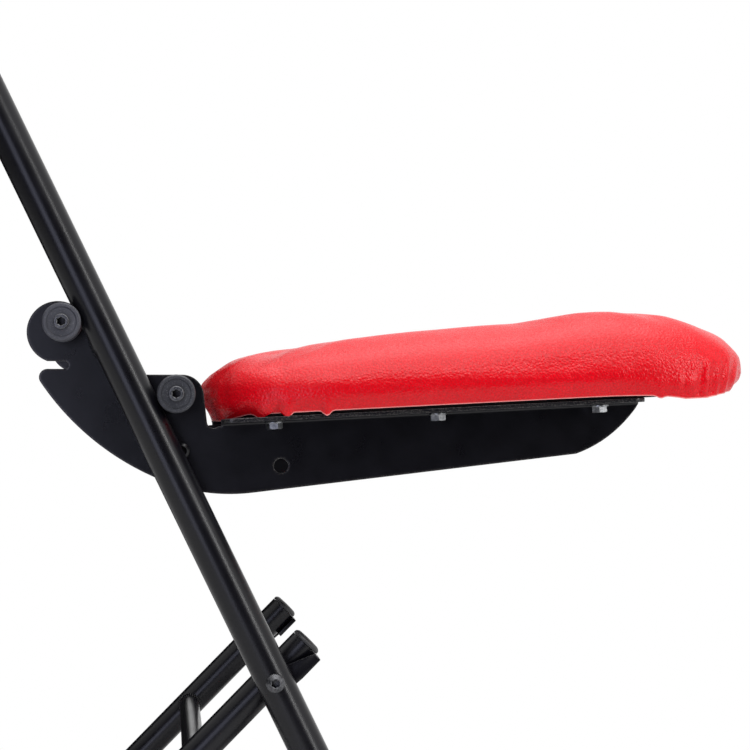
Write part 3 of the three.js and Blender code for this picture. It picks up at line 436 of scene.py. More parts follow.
# %% Red vinyl with a leather grain
def red_leather():
    finish = Finish("red_leather", specular=0.29)
    push = finish.node("ShaderNodeTexNoise", {"Vector": finish.places, "Scale": 300}).outputs["Color"]
    pushed = finish.node("ShaderNodeVectorMath", {
        0: push, 1: (0.0016, 0.0016, 0.0016), 2: finish.places,
    }, operation="MULTIPLY_ADD").outputs["Vector"]
    pebble = finish.cells(520, pushed, "SMOOTH_F1", Smoothness=0.35)
    crease = finish.remap(finish.cells(520, pushed, "DISTANCE_TO_EDGE"), 0.0, 0.16)
    fine = finish.cells(1300, pushed, "SMOOTH_F1", Smoothness=0.4)
    cloud = finish.noise(11, detail=3)
    deep = finish.mix(finish.remap(cloud, 0.3, 0.7), (0.66, 0.0004, 0.006), (0.78, 0.0008, 0.010))
    # The creases of the grain are painted a darker red: painted shade.
    skin = finish.mix(crease, (0.52, 0.0003, 0.005), deep)
    # The hem is painted pale: partly the cover's paler backing, partly a painted highlight along the cut edge.
    finish.feed(finish.mix(finish.attribute("hem"), skin, (0.85, 0.28, 0.26)), "Base Color")
    finish.feed(finish.remap(crease, 0, 1, 0.34, 0.25), "Roughness")
    finish.bump(finish.remap(pebble, 0.0, 0.75, 1, 0), 0.00021, 0.8)
    finish.bump(crease, 0.00006, 0.6)
    finish.bump(fine, 0.00003, 0.3)
    finish.bump(finish.noise(70, detail=3), 0.0006, 0.18)


powder_coat()
# One plastic in two copies: the rear one lighter where light falls, the front one painted darker as painted shade.
turned_plastic("disc_plastic", rear_disc_centre, (0.042, 0.043, 0.052), (0.066, 0.067, 0.078))
shaded_front_disc_finish = turned_plastic(
    "disc_plastic_front_shaded", front_disc_centre, (0.022, 0.023, 0.028), (0.036, 0.037, 0.043)
)
black_oxide()
shaded_zinc()
foot_rubber()
plug_plastic()
pale_nylon()
black_board()
red_leather()
print("finishes:", sorted(finishes))

# %% [markdown]
# ## Shapes as plain data
# A shape here is a list of points and a list of faces. Turning, mirroring and joining shapes is then simple,
# and a finished mesh always sits at the origin, because its place is in its points.


# %% Shape
class Shape:
    """Points, faces, and marks, which are one named number for each point."""

    def __init__(self, points, faces, marks=()):
        self.points = [Vector(point) for point in points]
        self.faces = [tuple(face) for face in faces]
        self.marks = dict(marks)

    def moved(self, matrix):
        return Shape([matrix @ point for point in self.points], self.faces, self.marks)

    def mirrored(self):
        """The same shape on the other side of the chair, with its faces still pointing outwards."""
        return Shape([(x, -y, z) for x, y, z in self.points], [face[::-1] for face in self.faces], self.marks)


def both_sides(shape):
    other, count = shape.mirrored(), len(shape.points)
    faces = shape.faces + [tuple(index + count for index in face) for face in other.faces]
    return Shape(shape.points + other.points, faces, {name: mark * 2 for name, mark in shape.marks.items()})


def mesh_of(name, shape):
    mesh = bpy.data.meshes.new(name)
    mesh.from_pydata(shape.points, [], shape.faces)
    for mark, values in shape.marks.items():
        mesh.attributes.new(mark, "FLOAT", "POINT").data.foreach_set("value", values)
    return mesh


def piece_of(name, shape):
    mesh = mesh_of(name, shape) if isinstance(shape, Shape) else shape
    mesh.name = name
    piece = bpy.data.objects.new(name, mesh)
    bpy.context.scene.collection.objects.link(piece)
    return piece


made_pieces = []
stood_for = set()


def dress(piece, body, slot, nodes, finish=None, crease=38):
    """Finishes a piece: shading, material, the body that it rides on, and the solids that it stands for."""
    mesh = piece.data
    mesh.materials.clear()
    mesh.materials.append(finish or finishes[slot])
    mesh.shade_smooth()
    mesh.set_sharp_from_angle(angle=math.radians(crease))
    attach(piece, body)
    if nodes:
        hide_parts(*nodes)
    stood_for.update(nodes)
    made_pieces.append(piece.name)
    return piece


def pair(name):
    return [name + "_left", name + "_right"]


def twins(name, shape, matrix, body, slot, node, finish=None, crease=38):
    """One piece for a pair of solids: drawn, moved to the left side, and mirrored to the right."""
    return dress(piece_of(name, both_sides(shape.moved(matrix))), body, slot, pair(node), finish, crease)


# %% [markdown]
# ## Turned pieces
# Discs, screws, bars and feet are all bodies of revolution. A profile is turned round an axis, as on a
# lathe. Sharp corners never look real, because every real edge catches a thin line of light, so a helper
# first rounds each corner of the profile.

# %% Round the corners of a profile
largest_share = 0.45  # an arc takes at most this much of the lines beside its corner
nearly_straight = math.radians(176)


def rounded(corners, radius, steps=3):
    """Replaces each inner corner of an open profile by a short arc. A corner may bring its own radius."""
    path = [Vector(corner[:2]) for corner in corners]
    radii = [corner[2] if len(corner) > 2 else radius for corner in corners]
    made = [path[0]]
    for before, corner, after, size in zip(path, path[1:], path[2:], radii[1:]):
        back, on = (before - corner), (after - corner)
        size = min(size, largest_share * back.length, largest_share * on.length)
        if size < 1e-6 or back.angle(on) > nearly_straight:
            made.append(corner)
            continue
        start, end = corner + back.normalized() * size, corner + on.normalized() * size
        for step in range(steps + 1):
            share = step / steps
            made.append(start.lerp(corner, share).lerp(corner.lerp(end, share), share))
    return made + [path[-1]]


# %% Turn a profile round an axis
def turned(profile, sides=64, hexagons=None):
    """Turns (radius, place) pairs round the Y axis.

    Rows named in hexagons become six-sided. The number given there is the slope of a chamfer: how far the
    row's place shifts for each step that a corner stands further out than a flat.
    """
    hexagons = hexagons or {}
    sector = math.pi / 3
    points, rows = [], []
    for number, (radius, place) in enumerate(profile):
        if radius < 1e-7:
            rows.append([len(points)] * sides)
            points.append((0, place, 0))
            continue
        rows.append([len(points) + side for side in range(sides)])
        for side in range(sides):
            turn = 2 * math.pi * side / sides
            reach, shift = radius, 0
            if number in hexagons:
                reach = radius / math.cos((turn % sector) - sector / 2)
                shift = hexagons[number] * (reach - radius)
            points.append((reach * math.sin(turn), place + shift, reach * math.cos(turn)))
    faces = []
    for low, high in zip(rows, rows[1:]):
        for side in range(sides):
            after = (side + 1) % sides
            face = list(dict.fromkeys([low[side], low[after], high[after], high[side]]))
            if len(face) > 2:
                faces.append(tuple(face))
    return Shape(points, faces)


def closed_turn(profile, sides=64, hexagons=None):
    """Turns a profile that closes on itself, such as a ring's section."""
    shape = turned([*profile, profile[0]], sides, hexagons)
    last = len(shape.points) - sides
    faces = [tuple(index - last if index >= last else index for index in face) for face in shape.faces]
    return Shape(shape.points[:last], faces)


def at(place):
    return Matrix.Translation(place)


upright = Matrix.Rotation(math.pi / 2, 4, "X")  # turns a piece from along Y to along Z

# %% [markdown]
# ### Grip discs
# The disc's groove has the tube's own radius, so it wraps the tube like a pulley wraps a rope. Its section
# is an arc about the tube's centre. The rear discs bite deep, and the front ones only just touch.

# %% Grip discs
groove_radius = tube_radius + clearance
disc_chamfer = 0.001
screw_radius = 0.003
disc_bore = screw_radius + clearance
bore_depth = 0.004  # how far the bore reaches in from the disc's inner face
disc_rim = 0.0027
disc_dish = 0.0008
groove_lip = 0.0004
groove_steps = 28


def grip_disc(offset):
    half = math.sqrt(groove_radius**2 - (offset - disc_radius) ** 2)
    groove = []
    for step in range(groove_steps + 1):
        place = half * (2 * step / groove_steps - 1)
        groove.append((offset - math.sqrt(groove_radius**2 - place**2), place, 0))
    groove[0] = (*groove[0][:2], groove_lip)
    groove[-1] = (*groove[-1][:2], groove_lip)
    profile = rounded([
        (disc_bore, -disc_half_width + bore_depth),
        (disc_bore, -disc_half_width),
        (disc_radius - disc_chamfer, -disc_half_width),
        (disc_radius, -disc_half_width + disc_chamfer),
        *groove,
        (disc_radius, disc_half_width - disc_chamfer),
        (disc_radius - disc_chamfer, disc_half_width),
        (disc_radius - disc_rim, disc_half_width),
        (disc_radius - disc_rim - disc_dish, disc_half_width - disc_dish, 0.0008),
        (disc_bore, disc_half_width - disc_dish),
        (disc_bore, -disc_half_width + bore_depth),
    ], 0.00025)
    return closed_turn(profile[:-1], 96)


for name, offset, centre, body, finish in (
    ("rear_disc", rear_disc_offset, rear_disc_centre, "rear_axle", None),
    ("front_disc", front_disc_offset, front_disc_centre, "seat", shaded_front_disc_finish),
):
    place = at(centre + Vector((0, tube_spacing, 0)))
    twins(name + "s", grip_disc(offset), place, body, "disc_plastic", name, finish, crease=30)
print("discs:", disc_radius * 2000, "mm across")

# %% [markdown]
# ### Socket screws
# A socket screw's head is a short cylinder with a six-sided pit. Rows of the turned profile that belong to
# the pit are pushed out to a hexagon, which keeps the whole head one closed body without any cutting.

# %% Socket screws in the discs
screw_head_radius = 0.0052
screw_head_height = 0.006
socket_flat = 0.0026  # from the axis to a flat of the pit
socket_depth = 0.0042
bar_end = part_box("rear_axle_bar")[1].y
screw_tip = bar_end - 0.018
disc_face = tube_spacing + disc_half_width - disc_dish


def socket_screw(seat, head_height=screw_head_height, head_radius=screw_head_radius, dome=0.0,
                 tip=screw_tip, shank=screw_radius, flat=socket_flat, depth=socket_depth):
    """A screw along Y whose head rests on the level named seat. A dome lowers the head's edge."""
    under = seat + clearance
    top = under + head_height
    depth = min(depth, head_height - 0.0008)
    outside = rounded([
        (0, tip),
        (shank, tip, 0.0008),
        (shank, under, 0.0003),
        (head_radius, under, 0.0003),
        (head_radius, top - dome - 0.0004, 0.0006),
        (head_radius - 0.0005 - 1.2 * dome, top, 0.0006),
        (flat * 1.22, top, 0.0001),
        (flat, top - 0.0004, 0.0001),
    ], 0.0003)
    first = len(outside)
    pit = [(flat, top - 0.0006), (flat, top - depth), (0, top - depth - 0.0006)]
    screw = turned([*outside, *pit], 72, hexagons={first - 1: 0, first: 0, first + 1: 0})
    # Points inside the pit are marked, so that the black oxide paints them dark as painted shade.
    inside = flat * 1.17
    screw.marks["pit"] = [
        float(math.hypot(x, z) < inside and under + 0.0004 < y < top - 0.0005) for x, y, z in screw.points
    ]
    return screw


for name, centre, body in (
    ("rear_disc_screw", rear_disc_centre, "rear_axle"),
    ("front_disc_screw", front_disc_centre, "seat"),
):
    twins(name + "s", socket_screw(disc_face), at(centre), body, "screw_black", name)

# %% [markdown]
# ### Bars between the plates, and bushes
# Three round bars hold the side plates apart. Each has a tapped hole in each end, so it is a tube there:
# the profile goes in at the hole and out at the rim, with a small chamfer on both.

# %% Spacer bars
def spacer_bar(radius, half_length, bore=screw_radius + clearance, depth=0.020):
    half = rounded([
        (0, half_length - depth - 0.001),
        (bore, half_length - depth),
        (bore, half_length - 0.0006),
        (bore + 0.0006, half_length),
        (radius - 0.0008, half_length),
        (radius, half_length - 0.0008),
    ], 0.0002)
    other = [Vector((point.x, -point.y)) for point in half]
    return turned([*other, *reversed(half)], 64)


axle_bar_radius = 0.008
tie_bar_radius = 0.007
tie_from_deck = Vector((-0.0268, 0, -0.0219))
tie_point = deck_start + tie_from_deck
for name, centre, radius, body in (
    ("rear_axle_bar", rear_disc_centre, axle_bar_radius, "rear_axle"),
    ("front_axle_bar", front_disc_centre, axle_bar_radius, "seat"),
    ("lower_tie_bar", tie_point, tie_bar_radius, "seat"),
):
    bar = spacer_bar(radius, bar_end).moved(at(centre))
    dress(piece_of(name + "_turned", bar), body, "black_paint", [name])


# %% Domed tie screws and nylon bushes
plate_inner_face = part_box("side_plate_left")[0].y
plate_thickness = 0.003
plate_outer_face = plate_inner_face + plate_thickness
tie_screw = socket_screw(plate_outer_face, head_height=0.003, head_radius=0.0055, dome=0.0012)
twins("tie_screws", tie_screw, at(tie_point), "seat", "screw_black", "tie_screw", finishes["black_paint"])


def washer_ring(bore, radius, low, high, edge=0.0002):
    corners = [(bore, low), (radius, low), (radius, high), (bore, high)]
    profile = rounded([corners[-1], *corners, corners[0]], edge)
    return closed_turn(profile[1:-1], 64)


bush_radius = 0.005
bush_low, bush_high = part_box("rear_bush_left")
bush = washer_ring(screw_radius + clearance, bush_radius, bush_low.y, bush_high.y)
twins("rear_bushes", bush, at(rear_disc_centre), "rear_axle", "bush_nylon", "rear_bush")
print("turned pieces:", made_pieces)

# %% [markdown]
# ## Tubes by Geometry Nodes
# Every tube on the chair follows one rule: take a few corner points, round the corners with the bending
# tool's radius, and sweep a circle along the result. One node tree holds that rule, and each tube is the
# tree's answer to its own points and sizes. The result is then kept as a plain mesh.

# %% Build a tree with named inputs
def new_tree(name, inputs):
    tree = bpy.data.node_groups.new(name, "GeometryNodeTree")
    tree.interface.new_socket("Geometry", in_out="INPUT", socket_type="NodeSocketGeometry")
    for label, kind in inputs:
        tree.interface.new_socket(label, in_out="INPUT", socket_type="NodeSocket" + kind)
    tree.interface.new_socket("Geometry", in_out="OUTPUT", socket_type="NodeSocketGeometry")
    return tree, tree.nodes.new("NodeGroupInput").outputs


def close_tree(tree, shape, finish):
    """Ends a tree with plain geometry that carries its material."""
    real = node_in(tree, "GeometryNodeRealizeInstances", {"Geometry": shape})
    coated = node_in(tree, "GeometryNodeSetMaterial", {"Geometry": real.outputs[0], "Material": finish})
    ending = tree.nodes.new("NodeGroupOutput")
    tree.links.new(coated.outputs[0], ending.inputs[0])


def grown(tree, name, points, edges, values, aims=()):
    """Runs a tree on a few points, each with its aim, and returns its result as a plain mesh."""
    mesh = bpy.data.meshes.new(name)
    mesh.from_pydata(points, edges, [])
    if aims:
        spread = [number for aim in aims for number in aim]
        mesh.attributes.new("aim", "FLOAT_VECTOR", "POINT").data.foreach_set("vector", spread)
    holder = bpy.data.objects.new(name, mesh)
    bpy.context.scene.collection.objects.link(holder)
    modifier = holder.modifiers.new(name, "NODES")
    modifier.node_group = tree
    sockets = {item.name: item.identifier for item in tree.interface.items_tree if item.in_out == "INPUT"}
    for label, value in values.items():
        modifier[sockets[label]] = value
    settled = holder.evaluated_get(bpy.context.evaluated_depsgraph_get())
    made = bpy.data.meshes.new_from_object(settled)
    bpy.data.objects.remove(holder)
    return made


def chain(count, closed=False):
    """The edges of a line of points."""
    return [(index, index + 1) for index in range(count - 1)] + ([(count - 1, 0)] if closed else [])


# %% The tube tree
tube_tree, tube_inputs = new_tree("bent tube", (
    ("Radius", "Float"), ("Bend radius", "Float"), ("Bend steps", "Int"),
    ("Sides", "Int"), ("Finish", "Material"),
))
centre_line = node_in(tube_tree, "GeometryNodeMeshToCurve", {"Mesh": tube_inputs["Geometry"]})
bent_line = node_in(tube_tree, "GeometryNodeFilletCurve", {
    "Curve": centre_line.outputs[0], "Count": tube_inputs["Bend steps"], "Radius": tube_inputs["Bend radius"],
    "Limit Radius": True,
}, mode="POLY")
section = node_in(tube_tree, "GeometryNodeCurvePrimitiveCircle", {
    "Resolution": tube_inputs["Sides"], "Radius": tube_inputs["Radius"],
})
swept = node_in(tube_tree, "GeometryNodeCurveToMesh", {
    "Curve": bent_line.outputs[0], "Profile Curve": section.outputs[0], "Fill Caps": True,
})
close_tree(tube_tree, swept.outputs[0], tube_inputs["Finish"])


def tube(name, points, radius, matrix, bend_radius=0.0, bend_steps=1, sides=56):
    made = grown(tube_tree, name, points, chain(len(points)), {
        "Radius": radius, "Bend radius": bend_radius, "Bend steps": bend_steps, "Sides": sides,
        "Finish": finishes["black_paint"],
    })
    made.transform(matrix)
    return piece_of(name, made)


# %% [markdown]
# ### The upright tube
# One tube makes both front legs, both back posts and the handle. Its four corner points are the two feet
# and the two top corners, and the tree bends the top corners round a 60 mm former.

# %% Upright tube and front crossbar
foot_pad = 0.015
top_reach = 0.455
handle_bend = 0.060
crossbar_rise = 0.136
crossbar_radius = 0.0095
tube_foot = -tube_floor_reach + foot_pad
upright_corners = [
    (0, tube_spacing, tube_foot),
    (0, tube_spacing, top_reach),
    (0, -tube_spacing, top_reach),
    (0, -tube_spacing, tube_foot),
]
upright_tube = tube("bent_upright", upright_corners, tube_radius, tube_frame, handle_bend, 24, 72)
dress(upright_tube, "frame", "black_paint", ["upright_tube"])
crossbar_reach = -tube_floor_reach + crossbar_rise
crossbar_ends = [(0, side * tube_spacing, crossbar_reach) for side in (-1, 1)]
crossbar = tube("crossbar_tube", crossbar_ends, crossbar_radius, tube_frame)
dress(crossbar, "frame", "black_paint", ["front_crossbar"])
print("upright tube:", round(2 * (tube_floor_reach + top_reach) + 2 * tube_spacing, 2), "m of tube, about")

# %% Back rails
rail_radius = 0.008
back_curve = 0.518
rail_span = math.asin(tube_spacing / back_curve)
back_centre = back_curve * math.cos(rail_span)
rail_gap = 0.064
rail_below_bend = 0.014
upper_rail = top_reach - handle_bend - rail_below_bend
lower_rail = upper_rail - rail_gap
rail_steps = 40


def rail_points(height):
    turns = [rail_span * (2 * step / rail_steps - 1) for step in range(rail_steps + 1)]
    return [
        (back_centre - back_curve * math.cos(turn), back_curve * math.sin(turn), height) for turn in turns
    ]


for name, height in (("lower", lower_rail), ("upper", upper_rail)):
    rail = tube("rail_tube_" + name, rail_points(height), rail_radius, tube_frame, sides=40)
    dress(rail, "frame", "black_paint", ["back_rail_" + name])

# %% Rear legs and their rungs
leg_radius = 0.011
leg_stub = 0.032
rung_radius = 0.008
leg_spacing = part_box("rear_leg_left")[1].y - leg_radius
upper_rung = -0.078
lower_rung = 0.082 - leg_length
pivot_radius = 0.004


def settle(piece):
    """Applies a piece's modifiers."""
    made = bpy.data.meshes.new_from_object(piece.evaluated_get(bpy.context.evaluated_depsgraph_get()))
    piece.modifiers.clear()
    piece.data = made
    return piece


def bored(piece, centre, radius, reach=0.3):
    """Drills a round hole across the whole chair, along Y."""
    rod = turned([(0, -reach), (radius, -reach), (radius, reach), (0, reach)], 48)
    drill = piece_of("drill", rod.moved(at(centre)))
    cut = piece.modifiers.new("bore", "BOOLEAN")
    cut.operation = "DIFFERENCE"
    cut.object = drill
    settle(piece)
    bpy.data.objects.remove(drill)
    return piece


for name, side in (("left", 1), ("right", -1)):
    ends = [(0, side * leg_spacing, foot_pad - leg_length), (0, side * leg_spacing, leg_stub)]
    leg = bored(tube("leg_tube_" + name, ends, leg_radius, leg_frame), leg_pivot, pivot_radius + clearance)
    dress(leg, "rear_legs", "black_paint", ["rear_leg_" + name], crease=50)
for name, height in (("upper", upper_rung), ("lower", lower_rung)):
    ends = [(0, side * leg_spacing, height) for side in (-1, 1)]
    rung = tube("rung_tube_" + name, ends, rung_radius, leg_frame, sides=40)
    dress(rung, "rear_legs", "black_paint", ["rear_rung_" + name])

# %% [markdown]
# ### Weld beads
# Each cross tube is welded to its posts. A welder's bead is a row of small overlapping pools, so the tree
# walks along the line where two tubes meet and sets a flattened drop at every step, each a little
# different. The meeting line is worked out: a point of the thin tube's skin runs on until it is as far
# from the thick tube's axis as the thick tube's radius.

# %% The weld tree
weld_tree, weld_inputs = new_tree("weld bead", (
    ("Step", "Float"), ("Width", "Float"), ("Seed", "Int"), ("Finish", "Material"),
))
weld_line = node_in(weld_tree, "GeometryNodeMeshToCurve", {"Mesh": weld_inputs["Geometry"]})
pools = node_in(weld_tree, "GeometryNodeCurveToPoints", {
    "Curve": weld_line.outputs[0], "Length": weld_inputs["Step"],
}, mode="LENGTH")
drop = node_in(weld_tree, "GeometryNodeMeshIcoSphere", {"Radius": weld_inputs["Width"], "Subdivisions": 2})
uneven = node_in(weld_tree, "FunctionNodeRandomValue", {
    0: (0.85, 0.85, 0.42), 1: (1.1, 1.1, 0.55), "Seed": weld_inputs["Seed"],
}, data_type="FLOAT_VECTOR")
beads = node_in(weld_tree, "GeometryNodeInstanceOnPoints", {
    "Points": pools.outputs["Points"], "Instance": drop.outputs["Mesh"],
    "Rotation": pools.outputs["Rotation"], "Scale": uneven.outputs[0],
})
close_tree(weld_tree, beads.outputs[0], weld_inputs["Finish"])

weld_step = 0.0017
weld_width = 0.0021
line_steps = 48


def meeting_line(end, heading, thin, thick):
    """Where a thin tube, which leaves a thick upright one in a level direction, comes out of its skin."""
    across = Vector((-heading.y, heading.x, 0))
    line = []
    for step in range(line_steps):
        turn = 2 * math.pi * step / line_steps
        beside = across * (thin * math.cos(turn)) + Vector((0, 0, thin * math.sin(turn)))
        run = math.sqrt(thick**2 - (thin * math.cos(turn)) ** 2)
        line.append(Vector(end) + beside + heading * run)
    return line


def weld(name, lines, matrix, body, seed):
    points = [point for line in lines for point in line]
    edges = [
        (low + line_number * line_steps, high + line_number * line_steps)
        for line_number in range(len(lines))
        for low, high in chain(line_steps, closed=True)
    ]
    made = grown(weld_tree, name, points, edges, {
        "Step": weld_step, "Width": weld_width, "Seed": seed, "Finish": finishes["black_paint"],
    })
    made.transform(matrix)
    dress(piece_of(name, made), body, "black_paint", [])


def ends_of(height, spacing, thin, thick, slant=0.0):
    """The two meeting lines of a cross tube."""
    lines = []
    for side in (-1, 1):
        heading = Vector((-math.sin(slant), -side * math.cos(slant), 0))
        lines.append(meeting_line((0, side * spacing, height), heading, thin, thick))
    return lines


frame_welds = ends_of(crossbar_reach, tube_spacing, crossbar_radius, tube_radius)
for height in (lower_rail, upper_rail):
    frame_welds += ends_of(height, tube_spacing, rail_radius, tube_radius, rail_span)
weld("frame_welds", frame_welds, tube_frame, "frame", 3)
leg_welds = []
for height in (upper_rung, lower_rung):
    leg_welds += ends_of(height, leg_spacing, rung_radius, leg_radius)
weld("leg_welds", leg_welds, leg_frame, "rear_legs", 5)
print("welded joints:", len(frame_welds) + len(leg_welds))

# %% [markdown]
# ### Rubber feet
# A foot is a thick cup pushed over the tube's end. It is turned like the discs, with two shallow grip
# grooves, and then cut level with the floor, because the tube arrives at a slant.

# %% Feet
foot_wall = 0.003
foot_flare = 0.0015
foot_cover = 0.026
groove_depth = 0.0006
same_place = 1e-7  # points closer than this to a cutting plane lie on it


def rubber_foot(radius, reach, angle):
    outer = radius + foot_wall
    end = -reach + foot_pad
    below = -reach - (outer + foot_flare) * math.tan(angle) - 0.002
    grooves = []
    for groove in range(2):
        level = end + 0.008 + 0.0045 * groove
        for inward, rise in ((0, 0), (groove_depth, 0.0006), (groove_depth, 0.0016), (0, 0.0022)):
            grooves.append((outer - inward, level + rise, 0.0003))
    profile = rounded([
        (0, below),
        (outer + foot_flare, below),
        (outer + foot_flare, end - 0.001, 0.003),
        (outer, end + 0.005, 0.003),
        *grooves,
        (outer, end + foot_cover - 0.001),
        (outer - 0.0015, end + foot_cover),
        (radius + clearance, end + foot_cover, 0.0002),
        (radius + clearance, end - clearance, 0.0002),
        (0, end - clearance),
    ], 0.0008)
    return turned(profile, 72).moved(upright)


def cut_at_floor(mesh):
    work = bmesh.new()
    work.from_mesh(mesh)
    whole = work.verts[:] + work.edges[:] + work.faces[:]
    floor = {"plane_co": (0, 0, 0), "plane_no": (0, 0, 1)}
    bmesh.ops.bisect_plane(work, geom=whole, dist=same_place, clear_inner=True, **floor)
    bmesh.ops.holes_fill(work, edges=[edge for edge in work.edges if edge.is_boundary])
    bmesh.ops.recalc_face_normals(work, faces=work.faces)
    work.to_mesh(mesh)
    work.free()


for name, radius, reach, angle, spacing, matrix, body in (
    ("front_foot", tube_radius, tube_floor_reach, lean, tube_spacing, tube_frame, "frame"),
    ("rear_foot", leg_radius, leg_length, leg_lean, leg_spacing, leg_frame, "rear_legs"),
):
    foot = rubber_foot(radius, reach, angle).moved(at((0, spacing, 0))).moved(matrix)
    feet = piece_of(name + "_rubbers", both_sides(foot))
    cut_at_floor(feet.data)
    dress(feet, body, "foot_rubber", pair(name))

# %% [markdown]
# ## Sheet metal
# A side plate starts as a flat blank from a laser cutter. Then its top edge is folded out on a press, so that
# it can carry the seat. It is modelled the same way: a flat outline with rounded edges and holes is cut into
# strips where it will bend, and those strips are rolled round the press's corner radius.

# %% Loops of points
def arc(centre, radius, start, end, steps):
    """Points along an arc, whose ends are given in degrees."""
    turns = [math.radians(start + (end - start) * step / steps) for step in range(steps + 1)]
    x, y = centre
    return [Vector((x + radius * math.cos(turn), y + radius * math.sin(turn))) for turn in turns]


def curve_through(start, pull, end, steps=14):
    start, pull, end = Vector(start), Vector(pull), Vector(end)
    shares = [step / steps for step in range(steps + 1)]
    return [start.lerp(pull, share).lerp(pull.lerp(end, share), share) for share in shares]


def without_repeats(loop, nearest=2e-5):
    return [point for point, after in zip(loop, loop[1:] + loop[:1]) if (point - after).length > nearest]


def inset(loop, distance):
    """Moves a loop to its left, which is into the material for an outline and for a clockwise hole."""
    made = []
    for before, point, after in zip(loop[-1:] + loop[:-1], loop, loop[1:] + loop[:1]):
        left_of = []
        for step in (point - before, after - point):
            unit = step.normalized()
            left_of.append(Vector((-unit.y, unit.x)))
        mitre = (left_of[0] + left_of[1]) / max(0.4, 1 + left_of[0].dot(left_of[1]))
        made.append(point + mitre * distance)
    return made


def round_hole(centre, radius, steps=40):
    return arc(centre, radius, 360, 0, steps)[:-1]


def rounded_rectangle(left, low, right, high, corner, steps=10):
    corners = (
        (right - corner, low + corner, -90), (right - corner, high - corner, 0),
        (left + corner, high - corner, 90), (left + corner, low + corner, 180),
    )
    return [point for x, y, start in corners for point in arc((x, y), corner, start, start + 90, steps)]


# %% A plate with rounded edges
edge_steps = 3


def edged_plate(loops, thickness, edge, border=0.0012):
    """A plate from z = 0 to z = thickness. The first loop is the outline, and the others are holes."""
    loops = [without_repeats(loop) for loop in loops]
    turns = [math.pi / 2 * step / edge_steps for step in range(edge_steps + 1)]
    # The rounding rows carry a mark of one, which the black paint shows as lighter edges: worn coat and a painted
    # highlight.
    lower = [(edge * (1 - math.cos(turn)), edge * (1 - math.sin(turn)), 1.0) for turn in reversed(turns)]
    upper = [(inward, thickness - level, mark) for inward, level, mark in reversed(lower)]
    rows = [(edge + border, 0, 0.0), *lower, *upper, (edge + border, thickness, 0.0)]
    points, faces, edge_wear_and_highlight = [], [], []
    low_rings, high_rings = [], []
    for loop in loops:
        rings = []
        for inward, level, mark in rows:
            rings.append(range(len(points), len(points) + len(loop)))
            points += [(point.x, point.y, level) for point in inset(loop, inward)]
            edge_wear_and_highlight += [mark] * len(loop)
        for low, high in zip(rings, rings[1:]):
            for index in range(len(loop)):
                after = (index + 1) % len(loop)
                faces.append((low[index], low[after], high[after], high[index]))
        low_rings.append(rings[0])
        high_rings.append(rings[-1])
    for rings, upward in ((low_rings, False), (high_rings, True)):
        flat = [index for ring in rings for index in ring]
        outlines = [[Vector(points[index]) for index in ring] for ring in rings]
        for triangle in geometry.tessellate_polygon(outlines):
            corners = [flat[index] for index in triangle]
            a, b, c = (Vector(points[corner]) for corner in corners)
            if ((b - a).cross(c - a).z > 0) != upward:
                corners.reverse()
            faces.append(tuple(corners))
    return Shape(points, faces, {"edge_wear_and_highlight": edge_wear_and_highlight})


def sliced(shape, direction, distances):
    """Cuts a shape's faces where planes cross it, so that it can be bent there."""
    mesh = mesh_of("slices", shape)
    work = bmesh.new()
    work.from_mesh(mesh)
    for distance in distances:
        whole = work.verts[:] + work.edges[:] + work.faces[:]
        place = Vector(direction) * distance
        bmesh.ops.bisect_plane(work, geom=whole, dist=same_place, plane_co=place, plane_no=direction)
    marks = {}
    for mark in shape.marks:
        layer = work.verts.layers.float[mark]
        marks[mark] = [vertex[layer] for vertex in work.verts]
    faces = [[vertex.index for vertex in face.verts] for face in work.faces]
    made = Shape([vertex.co for vertex in work.verts], faces, marks)
    work.free()
    bpy.data.meshes.remove(mesh)
    return made


# %% Fold a flap
fold_steps = 10


def fold_allowance(thickness, inside_radius):
    """The length of flat sheet that goes into a fold."""
    return (inside_radius + thickness / 2) * math.pi / 2


def folded(shape, thickness, inside_radius):
    """Folds the flap of a flat plate, which lies past y = 0 where x is above zero, by a right angle.

    The answer has x along the fold, y through the plate from its inner face, and z up to the flap's outer
    face, which lies at z = 0.
    """
    outer = thickness + inside_radius
    length = fold_allowance(thickness, inside_radius)
    cut = sliced(shape, (0, 1, 0), [length * step / fold_steps for step in range(fold_steps + 1)])
    points = []
    for along, past, depth in cut.points:
        if past <= 0 or along < -0.001:
            points.append((along, depth, past - outer))
            continue
        radius = outer - depth
        turn = min(1, past / length) * math.pi / 2
        straight = max(0, past - length)
        points.append((along, outer - radius * math.cos(turn) + straight, radius * math.sin(turn) - outer))
    # y and z change places, which turns the faces over, so they are turned back.
    return Shape(points, [face[::-1] for face in cut.faces], cut.marks)


# %% [markdown]
# ### Side plates
# The outline is a chain of arcs: a lobe round the rear disc, a notch with a round lip below it, one long
# sweep of 182 mm radius, a soft corner, a straight lower edge that rises to the nose, the relief hole that
# ends the fold, an ear in front of the tube, and the saddle between ear and lobe.

# %% Sizes of the side plate
lobe_radius = 0.0213
lobe_from_disc = Vector((-0.0036, -0.006))
notch_width = 0.0053
notch_drop = 0.0227  # below the lobe's middle
notch_ahead = 0.0072
lip_radius = 0.0058
lip_behind = 0.007
sweep_radius = 0.1824
plate_depth = 0.0964
low_corner_ahead = 0.071
low_corner_radius = 0.022
bottom_rise = math.radians(6.8)
nose_length = 0.044
nose_pull = Vector((0.0265, 0.0094))
relief_radius = 0.0047
relief_from_deck = Vector((-0.0049, -0.0014))
open_hole_from_deck = Vector((0.0416, -0.0321))
open_hole_radius = 0.005
bush_hole_radius = 0.0053
bolt_hole_radius = 0.0033
fold_radius = 0.002
flange_reach = 0.030
flange_corner = 0.008
first_bolt = 0.0358
bolt_spacing = 0.1131
bolts_per_side = 3
last_bolt = first_bolt + (bolts_per_side - 1) * bolt_spacing
flange_length = last_bolt + 0.0305
